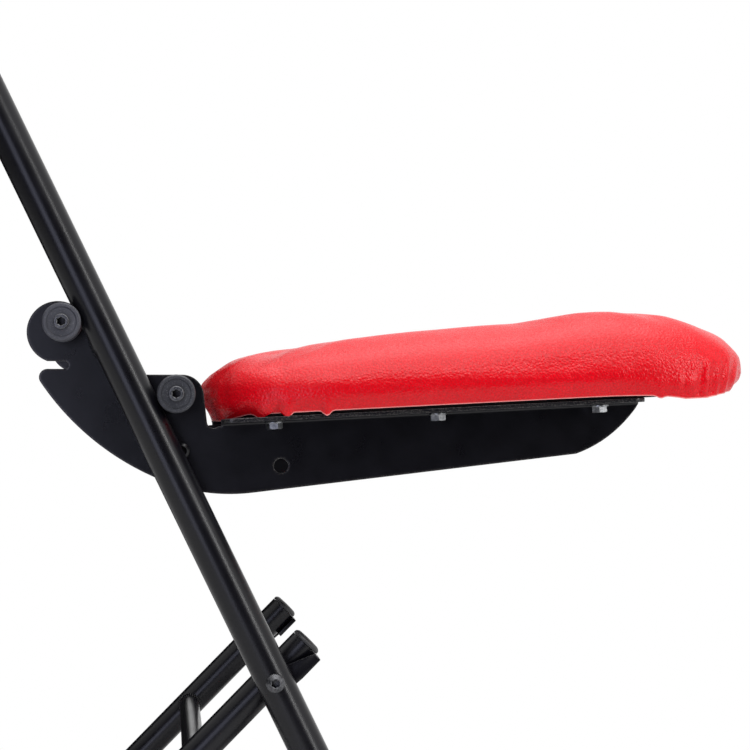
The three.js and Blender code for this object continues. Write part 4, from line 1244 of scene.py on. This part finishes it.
edge_rounding = 0.0005
bolt_line = plate_outer_face + flange_reach / 2


def side_view(place):
    return Vector((place.x, place.z))


def on_blank(point):
    """A place beside the chair, as x along the deck and y above the line where the fold starts."""
    local = deck_frame.inverted() @ Vector((point.x, 0, point.y))
    return Vector((local.x, local.z + plate_thickness + fold_radius))


def on_circle(centre, radius, turn):
    return centre + radius * Vector((math.cos(turn), math.sin(turn)))


# %% Blank of the side plate
def plate_blank():
    degrees = math.degrees
    lobe = side_view(rear_disc_centre) + lobe_from_disc
    notch_end = lobe + Vector((notch_ahead - notch_width / 2, -notch_drop))
    notch_top = notch_end.y + notch_width / 2
    mouth = math.pi + math.asin((notch_drop - notch_width / 2) / lobe_radius)
    lip = lobe + Vector((-lip_behind, -notch_drop - notch_width / 2 - lip_radius))
    sweep_level = grip.z - plate_depth + sweep_radius
    lip_turn = math.pi + math.asin((sweep_level - lip.y) / (sweep_radius - lip_radius))
    sweep = Vector((lip.x - (sweep_radius - lip_radius) * math.cos(lip_turn), sweep_level))
    corner = Vector((grip.x + low_corner_ahead, 0))
    corner_turn = -math.acos((corner.x - sweep.x) / sweep_radius)
    corner.y = sweep.y + sweep_radius * math.sin(corner_turn)
    sweep_end = corner_turn - low_corner_radius / sweep_radius + 2 * math.pi
    rise = Vector((1, math.tan(bottom_rise)))
    corner_end = corner + rise * low_corner_radius
    nose = deck_start.x + flange_length * math.cos(deck_tilt)
    nose_start = corner + rise * (nose - nose_length - corner.x)
    nose_drop = (plate_thickness + fold_radius) / math.cos(deck_tilt)
    nose_end = (nose, deck_start.z + flange_length * math.sin(deck_tilt) - nose_drop)
    saddle_radius = lobe.y - ear.z - ear_radius
    saddle = lobe + Vector((lobe_radius + saddle_radius, 0))
    relief = on_blank(side_view(deck_start) + relief_from_deck)
    relief_turn = math.asin(-relief.y / relief_radius)

    lower = [
        *curve_through((on_circle(lobe, lobe_radius, mouth).x, notch_top), (lobe.x, notch_top),
                       (notch_end.x, notch_top), 6),
        *arc(notch_end, notch_width / 2, 90, -90, 16),
        *arc(lip, lip_radius, 90, degrees(lip_turn), 20),
        *arc(sweep, sweep_radius, degrees(lip_turn), degrees(sweep_end), 64),
        *curve_through(on_circle(sweep, sweep_radius, sweep_end), corner, corner_end, 14),
        *curve_through(nose_start, nose_start + nose_pull, nose_end, 24),
    ]
    upper = [
        *arc(side_view(ear), ear_radius, 0, 90, 24),
        *arc(saddle, saddle_radius, -90, -180, 20),
        *arc(lobe, lobe_radius, 0, degrees(mouth), 60),
    ]
    allowance = fold_allowance(plate_thickness, fold_radius)
    flap_end = allowance + flange_reach - fold_radius
    flap = [
        Vector((flange_length, 0.001)),
        *arc((flange_length - flange_corner, flap_end - flange_corner), flange_corner, 0, 90, 12),
        *arc((flange_corner, flap_end - flange_corner), flange_corner, 90, 180, 12),
        Vector((0, 0)),
        *arc(relief, relief_radius, degrees(relief_turn), -180 - degrees(deck_tilt), 24),
    ]
    holes = [
        (on_blank(side_view(rear_disc_centre)), bush_hole_radius),
        (on_blank(side_view(front_disc_centre)), screw_radius + clearance),
        (on_blank(side_view(tie_point)), screw_radius + clearance),
        (on_blank(side_view(deck_start) + open_hole_from_deck), open_hole_radius),
    ]
    bolt_past = allowance + flange_reach / 2 - fold_radius
    for bolt in range(bolts_per_side):
        holes.append(((first_bolt + bolt * bolt_spacing, bolt_past), bolt_hole_radius))
    outline = [on_blank(point) for point in lower[:-1]] + flap + [on_blank(point) for point in upper]
    return [outline, *(round_hole(centre, radius) for centre, radius in holes)]


side_plate = folded(edged_plate(plate_blank(), plate_thickness, edge_rounding), plate_thickness, fold_radius)
side_plate = side_plate.moved(deck_frame @ at((0, plate_inner_face, 0)))
for name, shape in (("left", side_plate), ("right", side_plate.mirrored())):
    dress(piece_of("folded_plate_" + name, shape), "seat", "black_paint", ["side_plate_" + name], crease=50)
print("side plate blank:", len(side_plate.points), "points")

# %% [markdown]
# ## Fasteners by Geometry Nodes
# A bolt that repeats is drawn once. A tree then sets a copy on every given point, aims it, and turns it about
# its own axis by a random step, because no fitter lines up the flats of bolts.

# %% The copies tree
copy_tree, copy_inputs = new_tree("copies", (("Part", "Object"), ("Seed", "Int"), ("Finish", "Material")))
drawn_once = node_in(copy_tree, "GeometryNodeObjectInfo", {"Object": copy_inputs["Part"]})
aim = node_in(copy_tree, "GeometryNodeInputNamedAttribute", {"Name": "aim"}, data_type="FLOAT_VECTOR")
aimed = node_in(copy_tree, "FunctionNodeAlignRotationToVector", {"Vector": aim.outputs[0]}, axis="Y")
flat_turn = node_in(copy_tree, "FunctionNodeRandomValue", {"Seed": copy_inputs["Seed"], "Max": math.pi / 3})
spin = node_in(copy_tree, "FunctionNodeAxisAngleToRotation", {
    "Angle": flat_turn.outputs["Value"], "Axis": (0, 1, 0),
})
spun = node_in(copy_tree, "FunctionNodeRotateRotation", {
    "Rotation": aimed.outputs[0], "Rotate By": spin.outputs[0],
}, rotation_space="LOCAL")
copied = node_in(copy_tree, "GeometryNodeInstanceOnPoints", {
    "Points": copy_inputs["Geometry"], "Instance": drawn_once.outputs["Geometry"],
    "Rotation": spun.outputs[0],
})
close_tree(copy_tree, copied.outputs[0], copy_inputs["Finish"])


def copies(name, shape, places, aims, slot, seed):
    drawn = piece_of("drawn_once", shape)
    made = grown(copy_tree, name, places, [], {"Part": drawn, "Seed": seed, "Finish": finishes[slot]}, aims)
    bpy.data.objects.remove(drawn)
    return piece_of(name, made)


# %% Hexagon bolts with washers, under the seat
hex_slope = math.tan(math.radians(30))
bolt_washer_radius = 0.0064
bolt_washer_low = -0.0048
bolt_washer_high = bolt_washer_low + 0.0015
bolt_head_low = bolt_washer_low - 0.004
bolt_flat = 0.00502
bolt_tip = 0.0108


def hexagon_bolt():
    head = [
        (0, bolt_head_low + 0.0002),
        (0.0032, bolt_head_low + 0.0002),
        (0.0035, bolt_head_low),
        (bolt_flat - 0.0003, bolt_head_low),
        (bolt_flat, bolt_head_low + 0.0001),
        (bolt_flat, bolt_washer_low),
    ]
    rest = rounded([
        (bolt_flat + 0.0002, bolt_washer_low),
        (bolt_washer_radius, bolt_washer_low),
        (bolt_washer_radius, bolt_washer_high),
        (screw_radius, bolt_washer_high),
        (screw_radius, bolt_tip),
        (0, bolt_tip),
    ], 0.00035)
    return turned([*head, *rest], 72, hexagons={len(head) - 2: hex_slope, len(head) - 1: 0})


deck_up = deck_frame.to_3x3() @ Vector((0, 0, 1))
bolt_places = [
    deck_frame @ Vector((first_bolt + bolt * bolt_spacing, side * bolt_line, 0))
    for bolt in range(bolts_per_side)
    for side in (1, -1)
]
bolt_aims = [deck_up] * len(bolt_places)
seat_bolts = copies("hexagon_bolts", hexagon_bolt(), bolt_places, bolt_aims, "zinc_steel", 11)
bolt_nodes = [node for bolt in range(bolts_per_side) for node in pair(f"seat_bolt_{bolt + 1}")]
dress(seat_bolts, "seat", "zinc_steel", bolt_nodes)

# %% Screws that hold the backrest
back_half_width = tube_spacing - tube_radius - 0.018
back_screw_inset = 0.058  # from the board's side edge
screw_turn = math.asin((back_half_width - back_screw_inset) / back_curve)
back_screw = socket_screw(
    0, head_height=0.0026, head_radius=0.005, dome=0.0011, tip=-0.0226, shank=0.0025,
    flat=0.0015, depth=0.0015,
)
screw_places, screw_aims = [], []
for height in (lower_rail, upper_rail):
    for side in (1, -1):
        outward = Vector((-math.cos(screw_turn), side * math.sin(screw_turn), 0))
        back_of_rail = outward * (back_curve + rail_radius) + Vector((back_centre, 0, height))
        screw_places.append(tube_frame @ back_of_rail)
        screw_aims.append(tube_frame.to_3x3() @ outward)
back_screws = copies("backrest_screws", back_screw, screw_places, screw_aims, "screw_black", 7)
dress(back_screws, "frame", "screw_black", pair("back_screw_lower") + pair("back_screw_upper"))

# %% Pivots of the rear legs
leg_inner_face = leg_spacing - leg_radius
nut_height = 0.0065
nut_high = leg_inner_face - clearance
nut_low = nut_high - nut_height
pivot_bolt = socket_screw(
    tube_spacing + tube_radius, head_height=0.005, head_radius=0.0065, dome=0.0022,
    tip=nut_low - clearance, shank=pivot_radius,
)
twins("pivot_bolts", pivot_bolt, at(leg_pivot), "frame", "screw_black", "leg_pivot_bolt")


def hexagon_nut(bore, flat, low, high, edge=0.0005):
    profile = [
        (bore, low + edge), (bore + edge, low), (flat - edge, low), (flat, low + 0.0002),
        (flat, high - 0.0002), (flat - edge, high), (bore + edge, high), (bore, high - edge),
    ]
    return closed_turn(profile, 72, hexagons={3: hex_slope, 4: -hex_slope})


nut_flat = 0.00615  # from the axis to a flat
nut = hexagon_nut(pivot_radius + clearance, nut_flat, nut_low, nut_high)
twins("pivot_nuts", nut, at(leg_pivot), "frame", "zinc_steel", "leg_pivot_nut")
spacer_radius = 0.009
spacer_low, spacer_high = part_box("leg_pivot_spacer_left")
spacer = washer_ring(pivot_radius + clearance, spacer_radius, spacer_low.y, spacer_high.y)
twins("pivot_spacers", spacer, at(leg_pivot), "frame", "bush_nylon", "leg_pivot_spacer")

# %% End plugs
plug_low = leg_stub + clearance
plug_height = 0.004
plug_profile = rounded([
    (0, plug_low),
    (leg_radius, plug_low),
    (leg_radius, plug_low + 0.002, 0.0015),
    (leg_radius - 0.002, plug_low + plug_height - 0.0003, 0.002),
    (0.003, plug_low + plug_height, 0.001),
    (0, plug_low + plug_height),
], 0.0004)
on_leg = leg_frame @ at((0, leg_spacing, 0)) @ upright
twins("end_plugs", turned(plug_profile, 64), on_leg, "rear_legs", "plug_plastic", "rear_leg_plug")


# %% Brackets, from the working model with softer edges
def softened(node, width):
    """A copy of a solid, merged, with its sharp edges rounded."""
    work = bmesh.new()
    work.from_mesh(bpy.data.objects[node].data)
    bmesh.ops.remove_doubles(work, verts=work.verts, dist=1e-6)
    bmesh.ops.dissolve_limit(work, angle_limit=math.radians(2), verts=work.verts, edges=work.edges)
    mesh = bpy.data.meshes.new(node)
    work.to_mesh(mesh)
    work.free()
    piece = piece_of("soft_" + node, mesh)
    bevel = piece.modifiers.new("edges", "BEVEL")
    bevel.width = width
    bevel.segments = 3
    bevel.angle_limit = math.radians(32)
    return settle(piece)


bracket_edge = 0.0006
for node in pair("leg_bracket"):
    dress(softened(node, bracket_edge), "frame", "black_paint", [node])

# %% Seat board and backrest board
board_thickness = 0.012
board_edge = 0.0012
board_rear = 0.0045
board_length = 0.3255
board_beyond_bolts = 0.0125
board_front = board_rear + board_length
board_half = bolt_line + board_beyond_bolts
board_corner = 0.044
seat_outline = rounded_rectangle(board_rear, -board_half, board_front, board_half, board_corner, 20)
seat_board = edged_plate([seat_outline], clearance + board_thickness, board_edge).moved(deck_frame)
dress(piece_of("painted_seat_board", seat_board), "seat", "black_board", ["seat_board"], crease=50)

back_height = 0.108
back_thickness = 0.008
back_corner = 0.024
back_middle = lower_rail + rail_gap / 2
back_low = back_middle - back_height / 2
back_outer = back_curve * math.cos(rail_span / 8) - rail_radius - clearance
back_inner = back_outer - back_thickness
back_slices = 32


def bowed(shape, inner_radius):
    """Bends a plate about the upright line in front of the sitter. Its z becomes the way back."""
    points = []
    for across, height, depth in shape.points:
        radius = inner_radius + depth
        points.append((back_centre - math.sqrt(radius**2 - across**2), across, height))
    return Shape(points, [face[::-1] for face in shape.faces])


back_outline = rounded_rectangle(
    -back_half_width, back_low, back_half_width, back_low + back_height, back_corner, 14
)
back_cuts = [back_half_width * (2 * step / back_slices - 1) for step in range(1, back_slices)]
back_board = sliced(edged_plate([back_outline], back_thickness, board_edge), (1, 0, 0), back_cuts)
back_board = bowed(back_board, back_inner).moved(tube_frame)
dress(piece_of("painted_back_board", back_board), "frame", "black_board", ["backrest_board"], crease=50)
print("boards:", round(board_front - board_rear, 3), "and", round(2 * back_half_width, 3), "m")

# %% [markdown]
# ## Cushions
# A cushion is drawn as rings about its middle: a pocket for the board, the hem, the side wall, and the top.
# Then a coarser copy, a little too small, is blown up as cloth, with its hem held. How far each of its
# points moved is handed on to the finer rings, so the hem stays a clean line while the skin swells and
# pulls like sewn vinyl.

# %% Cushion rings
def ramp(value, start, end):
    """Rises evenly from 0 at start to 1 at end, and stays level outside them."""
    return min(1, max(0, (value - start) / (end - start)))


def outline_reach(turn, half_x, half_y, corner):
    """The edge of a soft rectangle in one direction, as a distance from its middle."""
    squareness = 2 + min(half_x, half_y) / corner
    x, y = abs(math.cos(turn)) / half_x, abs(math.sin(turn)) / half_y
    return (x**squareness + y**squareness) ** (-1 / squareness)


def arch(height, inward):
    """A quarter of a round arch: how high it is when it has run inward from its foot by a share."""
    return height * math.sqrt(1 - (1 - min(1, inward)) ** 2)


def turns_round(count, crowd_at=0.0, crowding=0.0, spread=0.14):
    """Directions round the middle, closer together near crowd_at on both sides of the chair."""
    even = np.linspace(-math.pi, math.pi, 4001)
    density = 1 + crowding * np.exp(-((np.abs(even) - crowd_at) / spread) ** 2)
    passed = np.concatenate([[0], np.cumsum((density[1:] + density[:-1]) / 2)])
    return [float(turn) for turn in np.interp(np.linspace(0, passed[-1], count + 1)[:-1], passed, even)]


def row(point_at, share, level):
    return lambda turn: point_at(turn, share, level)


def top_rows(point_at, count):
    """Rows from the shoulder to the middle, closer together where the skin curves most."""
    return [row(point_at, math.cos(math.pi / 2 * (step / count)) ** 0.5, 1) for step in range(1, count)]


def ringed(rows, turns, marks=()):
    """A closed skin through rows of points. Each row is a function of the turn; the ends close to a point."""
    around = len(turns)
    points = [row_point(turn) for row_point in rows for turn in turns]
    faces = []
    for low in range(0, (len(rows) - 1) * around, around):
        for step in range(around):
            after = (step + 1) % around
            faces.append((low + step, low + after, low + around + after, low + around + step))
    for first, turned_over in ((0, True), (len(points) - around, False)):
        pole = len(rows) * around + (0 if turned_over else 1)
        points.append(sum(points[first:first + around], Vector()) / around)
        for step in range(around):
            face = (first + step, first + (step + 1) % around, pole)
            faces.append(face[::-1] if turned_over else face)
    spread = [mark for mark in marks for _ in turns] + [0.0, 0.0]
    return Shape(points, faces, {"hem": spread} if marks else {})


# %% Seat cushion's form
pad_behind_board = 0.0145
pad_beside_board = 0.008
pad_rear = board_rear - pad_behind_board
pad_length = 0.383
pad_half = board_half + pad_beside_board
pad_height = 0.062
pad_skirt = 0.002
pad_wall = 0.019
pad_roll = 0.052
pad_draw_in = 0.004
pad_corner = 0.038
pad_rear_pull = 0.005
top_shares = np.array([
    (0, 0.68), (0.09, 0.74), (0.2, 0.81), (0.32, 0.86), (0.5, 0.915),
    (0.61, 0.93), (0.7, 1), (0.77, 0.995), (0.86, 0.93), (1, 0.78),
])


def spline(knots, samples=400):
    """A smooth curve through the knots, as three.js draws it: Catmull-Rom with even parameter steps."""
    padded = np.vstack([2 * knots[0] - knots[1], knots, 2 * knots[-1] - knots[-2]])
    padded[0], padded[-1] = knots[0], knots[-1]
    made = []
    for t in np.linspace(0, len(knots) - 1, samples):
        base = min(int(t), len(knots) - 2)
        share = t - base
        a, b, c, d = padded[base:base + 4]
        square, cube = 2 * a - 5 * b + 4 * c - d, 3 * b - a - 3 * c + d
        made.append((2 * b + (c - a) * share + square * share**2 + cube * share**3) / 2)
    return np.array(made)


top_curve = spline(top_shares)


def pad_point(turn, share, level):
    """A point of the cushion: a share of the way out, and a share of the way up."""
    reach = outline_reach(turn, pad_length / 2, pad_half, pad_corner)
    edge = share * reach - (pad_draw_in * (1 - level) ** 2 if level < 1 else 0)
    pull = pad_rear_pull * share * max(0, -math.cos(turn)) * abs(math.sin(turn))
    x = pad_rear + pad_length / 2 + edge * math.cos(turn) + pull
    top = pad_height * float(np.interp((x - pad_rear) / pad_length, top_curve[:, 0], top_curve[:, 1]))
    crown = pad_wall + arch(top - pad_wall, (1 - share) * reach / pad_roll)
    return Vector((x, edge * math.sin(turn), pad_skirt + level * (crown - pad_skirt)))


pad_middle = Vector((pad_rear + pad_length / 2, 0, 0))


def beyond_board(x, y, play=0.0):
    """How far a place lies outside the board's rounded outline, which may be widened by some play."""
    half_length = (board_front - board_rear) / 2
    over = Vector((
        max(0, abs(x - board_rear - half_length) - half_length - play + board_corner),
        max(0, abs(y) - board_half - play + board_corner),
    ))
    return over.length - board_corner


def pocket_point(turn, share, height):
    """A point of the board's pocket in one direction from the cushion's middle, found by halving."""
    heading = Vector((math.cos(turn), math.sin(turn), 0))
    near, far = 0.0, 0.3
    for _ in range(24):
        reach = (near + far) / 2
        place = pad_middle + heading * reach
        if beyond_board(place.x, place.y, clearance) < 0:
            near = reach
        else:
            far = reach
    return pad_middle + heading * (near * share) + Vector((0, 0, height))


pocket_top = board_thickness + 2 * clearance
pocket_low = pad_skirt + 0.0006
# How strongly the rows at the hem are painted pale, partly as a painted highlight.
hem_marks = [1.0, 1.0, 1.0, 0.3]


def hem_underside(turn):
    return pocket_point(turn, 1, pocket_low).lerp(pad_point(turn, 1, 0), 0.6)


def hem_edge(turn):
    return pad_point(turn, 1, 0) - clearance * Vector((math.cos(turn), math.sin(turn), 0))


def seat_rows(walls, tops):
    """The fine skin's rows, and how much of the pale hem line each one carries: partly paler backing, partly a
    painted highlight.
    """
    rows = [row(pocket_point, share, pocket_top) for share in (0.2, 0.6, 0.9, 1)]
    rows += [row(pocket_point, 1, pocket_low), hem_underside]
    marks = [0.0] * len(rows) + hem_marks
    rows.append(hem_edge)
    rows += [row(pad_point, 1, level) for level in (0.0, 0.02, 0.035, 0.05)]
    rows += [row(pad_point, 1, 0.05 + 0.95 * step / walls) for step in range(1, walls + 1)]
    rows += top_rows(pad_point, tops)
    return rows, marks + [0.0] * (len(rows) - len(marks))


# %% Blow up a copy as cloth
voxel = 0.005
cloth_frames = 20
cloth_settings = {
    "quality": 6,
    "mass": 0.3,
    "tension_stiffness": 12,
    "compression_stiffness": 12,
    "shear_stiffness": 6,
    "bending_stiffness": 0.6,
    "use_pressure": True,
    "uniform_pressure_force": 4.0,
    "vertex_group_mass": "held",
    "pin_stiffness": 2,
}


def tree_of(places, picked):
    tree = kdtree.KDTree(len(picked))
    for index in picked:
        tree.insert(places[index], index)
    tree.balance()
    return tree


def blend(moves, near, weight):
    """The mean of the moves of some near points, each weighted by its distance."""
    weights = weight(np.array([distance for _, _, distance in near]))
    return (moves[[index for _, index, _ in near]] * weights[:, None]).sum(0) / weights.sum()


def broad_part(starts, moves, spread=0.022, every=11, neighbours=48):
    """The slow, wide part of a movement. Without it only creases and swellings between them are left."""
    tree = tree_of(starts, range(0, len(starts), every))
    made = np.empty_like(moves)
    for index, start in enumerate(starts):
        near = tree.find_n(start, neighbours)
        made[index] = blend(moves, near, lambda far: np.exp(-far**2 / (2 * spread**2)))
    return made


def swelling(shape, matrix, held, shrink, cap):
    """Where the points of a slightly shrunken, remeshed copy start, and how far each one moves as cloth."""
    piece = piece_of("blown", shape.moved(matrix))
    back = matrix.inverted()
    work = bmesh.new()
    work.from_mesh(piece.data)
    for vertex in work.verts:
        vertex.co -= vertex.normal * (shrink * (1 - held(back @ vertex.co)))
    work.to_mesh(piece.data)
    work.free()
    remesh = piece.modifiers.new("remesh", "REMESH")
    remesh.mode = "VOXEL"
    remesh.voxel_size = voxel
    settle(piece)
    starts = np.array([vertex.co[:] for vertex in piece.data.vertices])
    group = piece.vertex_groups.new(name="held")
    for index, start in enumerate(starts):
        group.add([index], held(back @ Vector(start)), "REPLACE")
    settings = piece.modifiers.new("cloth", "CLOTH").settings
    for name, value in cloth_settings.items():
        setattr(settings, name, value)
    settings.effector_weights.gravity = 0
    for number in range(1, cloth_frames + 1):
        bpy.context.scene.frame_set(number)
    blown = piece.evaluated_get(bpy.context.evaluated_depsgraph_get()).to_mesh()
    moves = np.array([vertex.co[:] for vertex in blown.vertices]) - starts
    lengths = np.linalg.norm(moves, axis=1, keepdims=True)
    moves *= np.minimum(1, cap / np.maximum(lengths, 1e-9))
    moves -= broad_part(starts, moves)
    bpy.data.objects.remove(piece)
    bpy.context.scene.frame_set(1)
    return starts, moves


def swollen(shape, matrix, held, shrink, cap, share, start_shape, neighbours=8, softness=0.002):
    """A finely drawn skin that moves by a share of what the coarse copy did."""
    made = shape.moved(matrix)
    starts, moves = swelling(start_shape, matrix, held, shrink, cap)
    tree = tree_of(starts, range(len(starts)))
    back = matrix.inverted()
    points = []
    for point in made.points:
        free = 1 - held(back @ point)
        move = blend(moves, tree.find_n(point, neighbours), lambda far: 1 / (far + softness) ** 2)
        points.append(point + free * share * Vector(move))
    made.points = points
    return made


# %% [markdown]
# ### The seat cushion's seams and folds
# The cover is pulled down over the foam and ends in a rough hem. Along the sides small tongues of vinyl hang
# below it, and round the front corners, where there is too much cover, it lies in upright folds. These
# come after the cloth, as small shifts of the skin.

# %% Tongues and folds
hem_drop = 0.0045
rear_hem_drop = 0.0036
hem_height = 0.012
hem_margin = 0.0015  # the hem starts this far outside the board
tongue_swing = 0.0012  # how far a tongue stands away from the side, at most, before it is halved
rear_tuck = 0.0055
nose_tuck = 0.005
fold_slant = 0.003
unevenness = 0.0006
rear_fullness = 0.0032
nose_fullness = 0.0034
ripple_height = 0.0007

# The place, width and depth of each tongue, by the side that it is on, and of each fold.
hem_tongues = {
    -1: (
        (0.0285, 0.0080, 0.0044), (0.0436, 0.0058, 0.0046), (0.0715, 0.0048, 0.0034), (0.302, 0.0045, 0.0016),
    ),
    1: ((0.024, 0.006, 0.003), (0.092, 0.0045, 0.0032), (0.171, 0.004, 0.002), (0.288, 0.005, 0.003)),
}
front_folds = (
    (0.318, 0.0034, 0.0007), (0.3300, 0.0038, 0.0018), (0.3395, 0.0040, 0.0024),
    (0.3475, 0.0036, 0.0026), (0.3550, 0.0036, 0.0026), (0.3625, 0.0036, 0.0018),
)

# How far the top lies below the plain form, by the place along the deck.
lowering = spline(np.array([
    (0.0, -0.0030), (0.010, -0.0022), (0.020, -0.0006), (0.030, 0.0014), (0.041, 0.0027), (0.058, 0.0026),
    (0.075, 0.0020), (0.100, 0.0014), (0.133, 0.0007), (0.159, 0.0012), (0.184, 0.0014), (0.209, 0.0007),
    (0.226, 0.0), (0.260, 0.0012), (0.285, 0.0017), (0.327, 0.0019), (0.344, 0.0020), (0.358, 0.0002),
]))


def hump(distance, width):
    """A smooth bump of height one."""
    share = min(1, abs(distance) / width)
    return (1 - share**2) ** 2


def hem_shift(x, y, z):
    """The cut edge: it droops in front and behind, hangs in tongues beside, and is tucked in at the nose."""
    side = 1 if y > 0 else -1
    foot = 1 - ramp(z, pad_skirt, pad_skirt + hem_height)
    beside = ramp(abs(y), 0.14, 0.18)
    drop = (hem_drop * ramp(x, 0.20, 0.32) ** 6 + rear_hem_drop * ramp(x, 0.018, 0.002)) * foot
    for place, width, depth in hem_tongues[side]:
        drop += depth * hump(x - place, width) * beside * foot**1.5
    rear = ramp(x, 0.004, -0.008) * max(0, 1 - (abs(y) / 0.17) ** 4)
    x += rear_tuck * rear * foot**0.5
    tuck = ramp(x, board_front + 0.006, board_front + 0.042) * foot
    return Vector((
        x - nose_tuck * tuck * foot,
        y + side * 0.5 * min(tongue_swing, drop) * beside,
        z + nose_tuck * tuck - drop,
    ))


def fold_shift(x, y, z, wall):
    """Upright folds round the front corners, and a slight unevenness, by moves towards the middle."""
    side = 1 if y > 0 else -1
    push = unevenness * noise.noise(Vector((x * 70, side * 3.0, z * 16))) * wall
    for place, width, depth in front_folds:
        lie = place + fold_slant * (z / pad_wall)
        push -= depth * hump(x - lie, width) * min(1, abs(y) / 0.13) ** 2 * wall
    away = Vector((x - pad_middle.x, y * 0.9, 0)).normalized()
    return Vector((x, y, z)) + away * push


def seat_detail(point):
    """Moves one point of the seat's skin, given and returned in the deck's own directions."""
    outside = beyond_board(point.x, point.y) > hem_margin
    if outside and point.z < pad_skirt + hem_height:
        point = hem_shift(*point)
    wall = ramp(point.z, pad_wall + 0.006, pad_wall - 0.010) * ramp(point.z, -0.004, 0.002)
    if outside and wall > 0:
        point = fold_shift(*point, wall)
    x, y, z = point
    middle_height = hump(z - 0.021, 0.02)
    x -= rear_fullness * middle_height * ramp(x, 0.004, -0.006)
    x += nose_fullness * middle_height * ramp(x, 0.36, 0.37)
    z -= float(np.interp(x, lowering[:, 0], lowering[:, 1])) * ramp(z, pad_wall, pad_wall + 0.012)
    ripple = noise.noise(Vector((x, y, z)) * 26 + Vector((4, 9, 2)))
    return Vector((x, y, z + ripple_height * ripple * ramp(z, 0.02, 0.03)))


# %% Seat cushion
def seat_held(point):
    """How firmly the hem holds a point: 1 at the hem, 0 from the side wall upwards."""
    return 1 - min(1, max(0, (point.z - 0.003) / 0.009))


pad_around = 900
corner_turn = math.atan2(pad_half, pad_length / 2) - 0.06
fine_rows, fine_marks = seat_rows(18, 40)
coarse_rows = [row(pad_point, share, 0) for share in (0.5, 0.9)]
coarse_rows += [row(pad_point, 1, level) for level in (0, 0.25, 0.5, 0.75, 1)]
coarse_rows += top_rows(pad_point, 16)
seat_skin = swollen(
    ringed(fine_rows, turns_round(pad_around, corner_turn, 1.5), fine_marks),
    deck_frame,
    seat_held,
    shrink=0.003,
    cap=0.0055,
    share=0.5,
    start_shape=ringed(coarse_rows, turns_round(120)),
)
to_deck = deck_frame.inverted()
pocket_count = pad_around * 6
seat_skin.points = [
    point if index < pocket_count else deck_frame @ seat_detail(to_deck @ point)
    for index, point in enumerate(seat_skin.points)
]
seat_cushion = dress(piece_of("seat_cushion", seat_skin), "seat", "red_leather", ["seat_pad"], crease=60)
print("seat cushion:", len(seat_skin.points), "points")

# %% Backrest cushion
back_pad_thickness = 0.022
back_pad_edge = 0.009
back_pad_overhang = 0.004
back_pad_face = back_inner - clearance


def back_point(turn, share, level):
    half_height = back_height / 2 + back_pad_overhang
    reach = outline_reach(turn, back_half_width + back_pad_overhang, half_height, back_corner)
    across, up = share * reach * math.cos(turn), share * reach * math.sin(turn)
    inward = (1 - share) * reach / (half_height - back_pad_edge)
    crown = back_pad_edge + arch(back_pad_thickness - back_pad_edge, inward)
    radius = back_pad_face - level * crown
    bend = math.asin(across / back_pad_face)
    return Vector((back_centre - radius * math.cos(bend), radius * math.sin(bend), back_middle + up))


def back_held(point):
    from_board = back_pad_face - math.hypot(point.x - back_centre, point.y)
    return 1 - ramp(from_board, 0.001, 0.005)


def back_rows(walls, tops):
    rows = [row(back_point, share, 0) for share in (0.3, 0.6, 0.85, 0.97)]
    rows += [row(back_point, 1, step / walls) for step in range(walls + 1)]
    return rows + top_rows(back_point, tops)


back_skin = swollen(
    ringed(back_rows(8, 28), turns_round(320)),
    tube_frame,
    back_held,
    shrink=0.0015,
    cap=0.004,
    share=0.8,
    start_shape=ringed(back_rows(4, 14), turns_round(140)),
)
back_piece = piece_of("backrest_cushion", back_skin)
back_cushion = dress(back_piece, "frame", "red_leather", ["backrest_pad"], crease=60)
print("backrest cushion:", len(back_skin.points), "points")

# %% [markdown]
# ## The rest of the working model
# Hidden solids, such as the threaded inserts in the seat board, are fine as they are and only need a finish.

# %% Finish what is left
slot_of = {entry["node"]: entry["material_slot"] for entry in frame["record"]["subparts"]}
left_over = [name for name in frame["nodes"] if name not in stood_for]
for name in left_over:
    frame["nodes"][name].data.materials.clear()
    frame["nodes"][name].data.materials.append(finishes[slot_of[name]])
print("kept from the working model:", left_over)
print("pieces:", len(made_pieces))
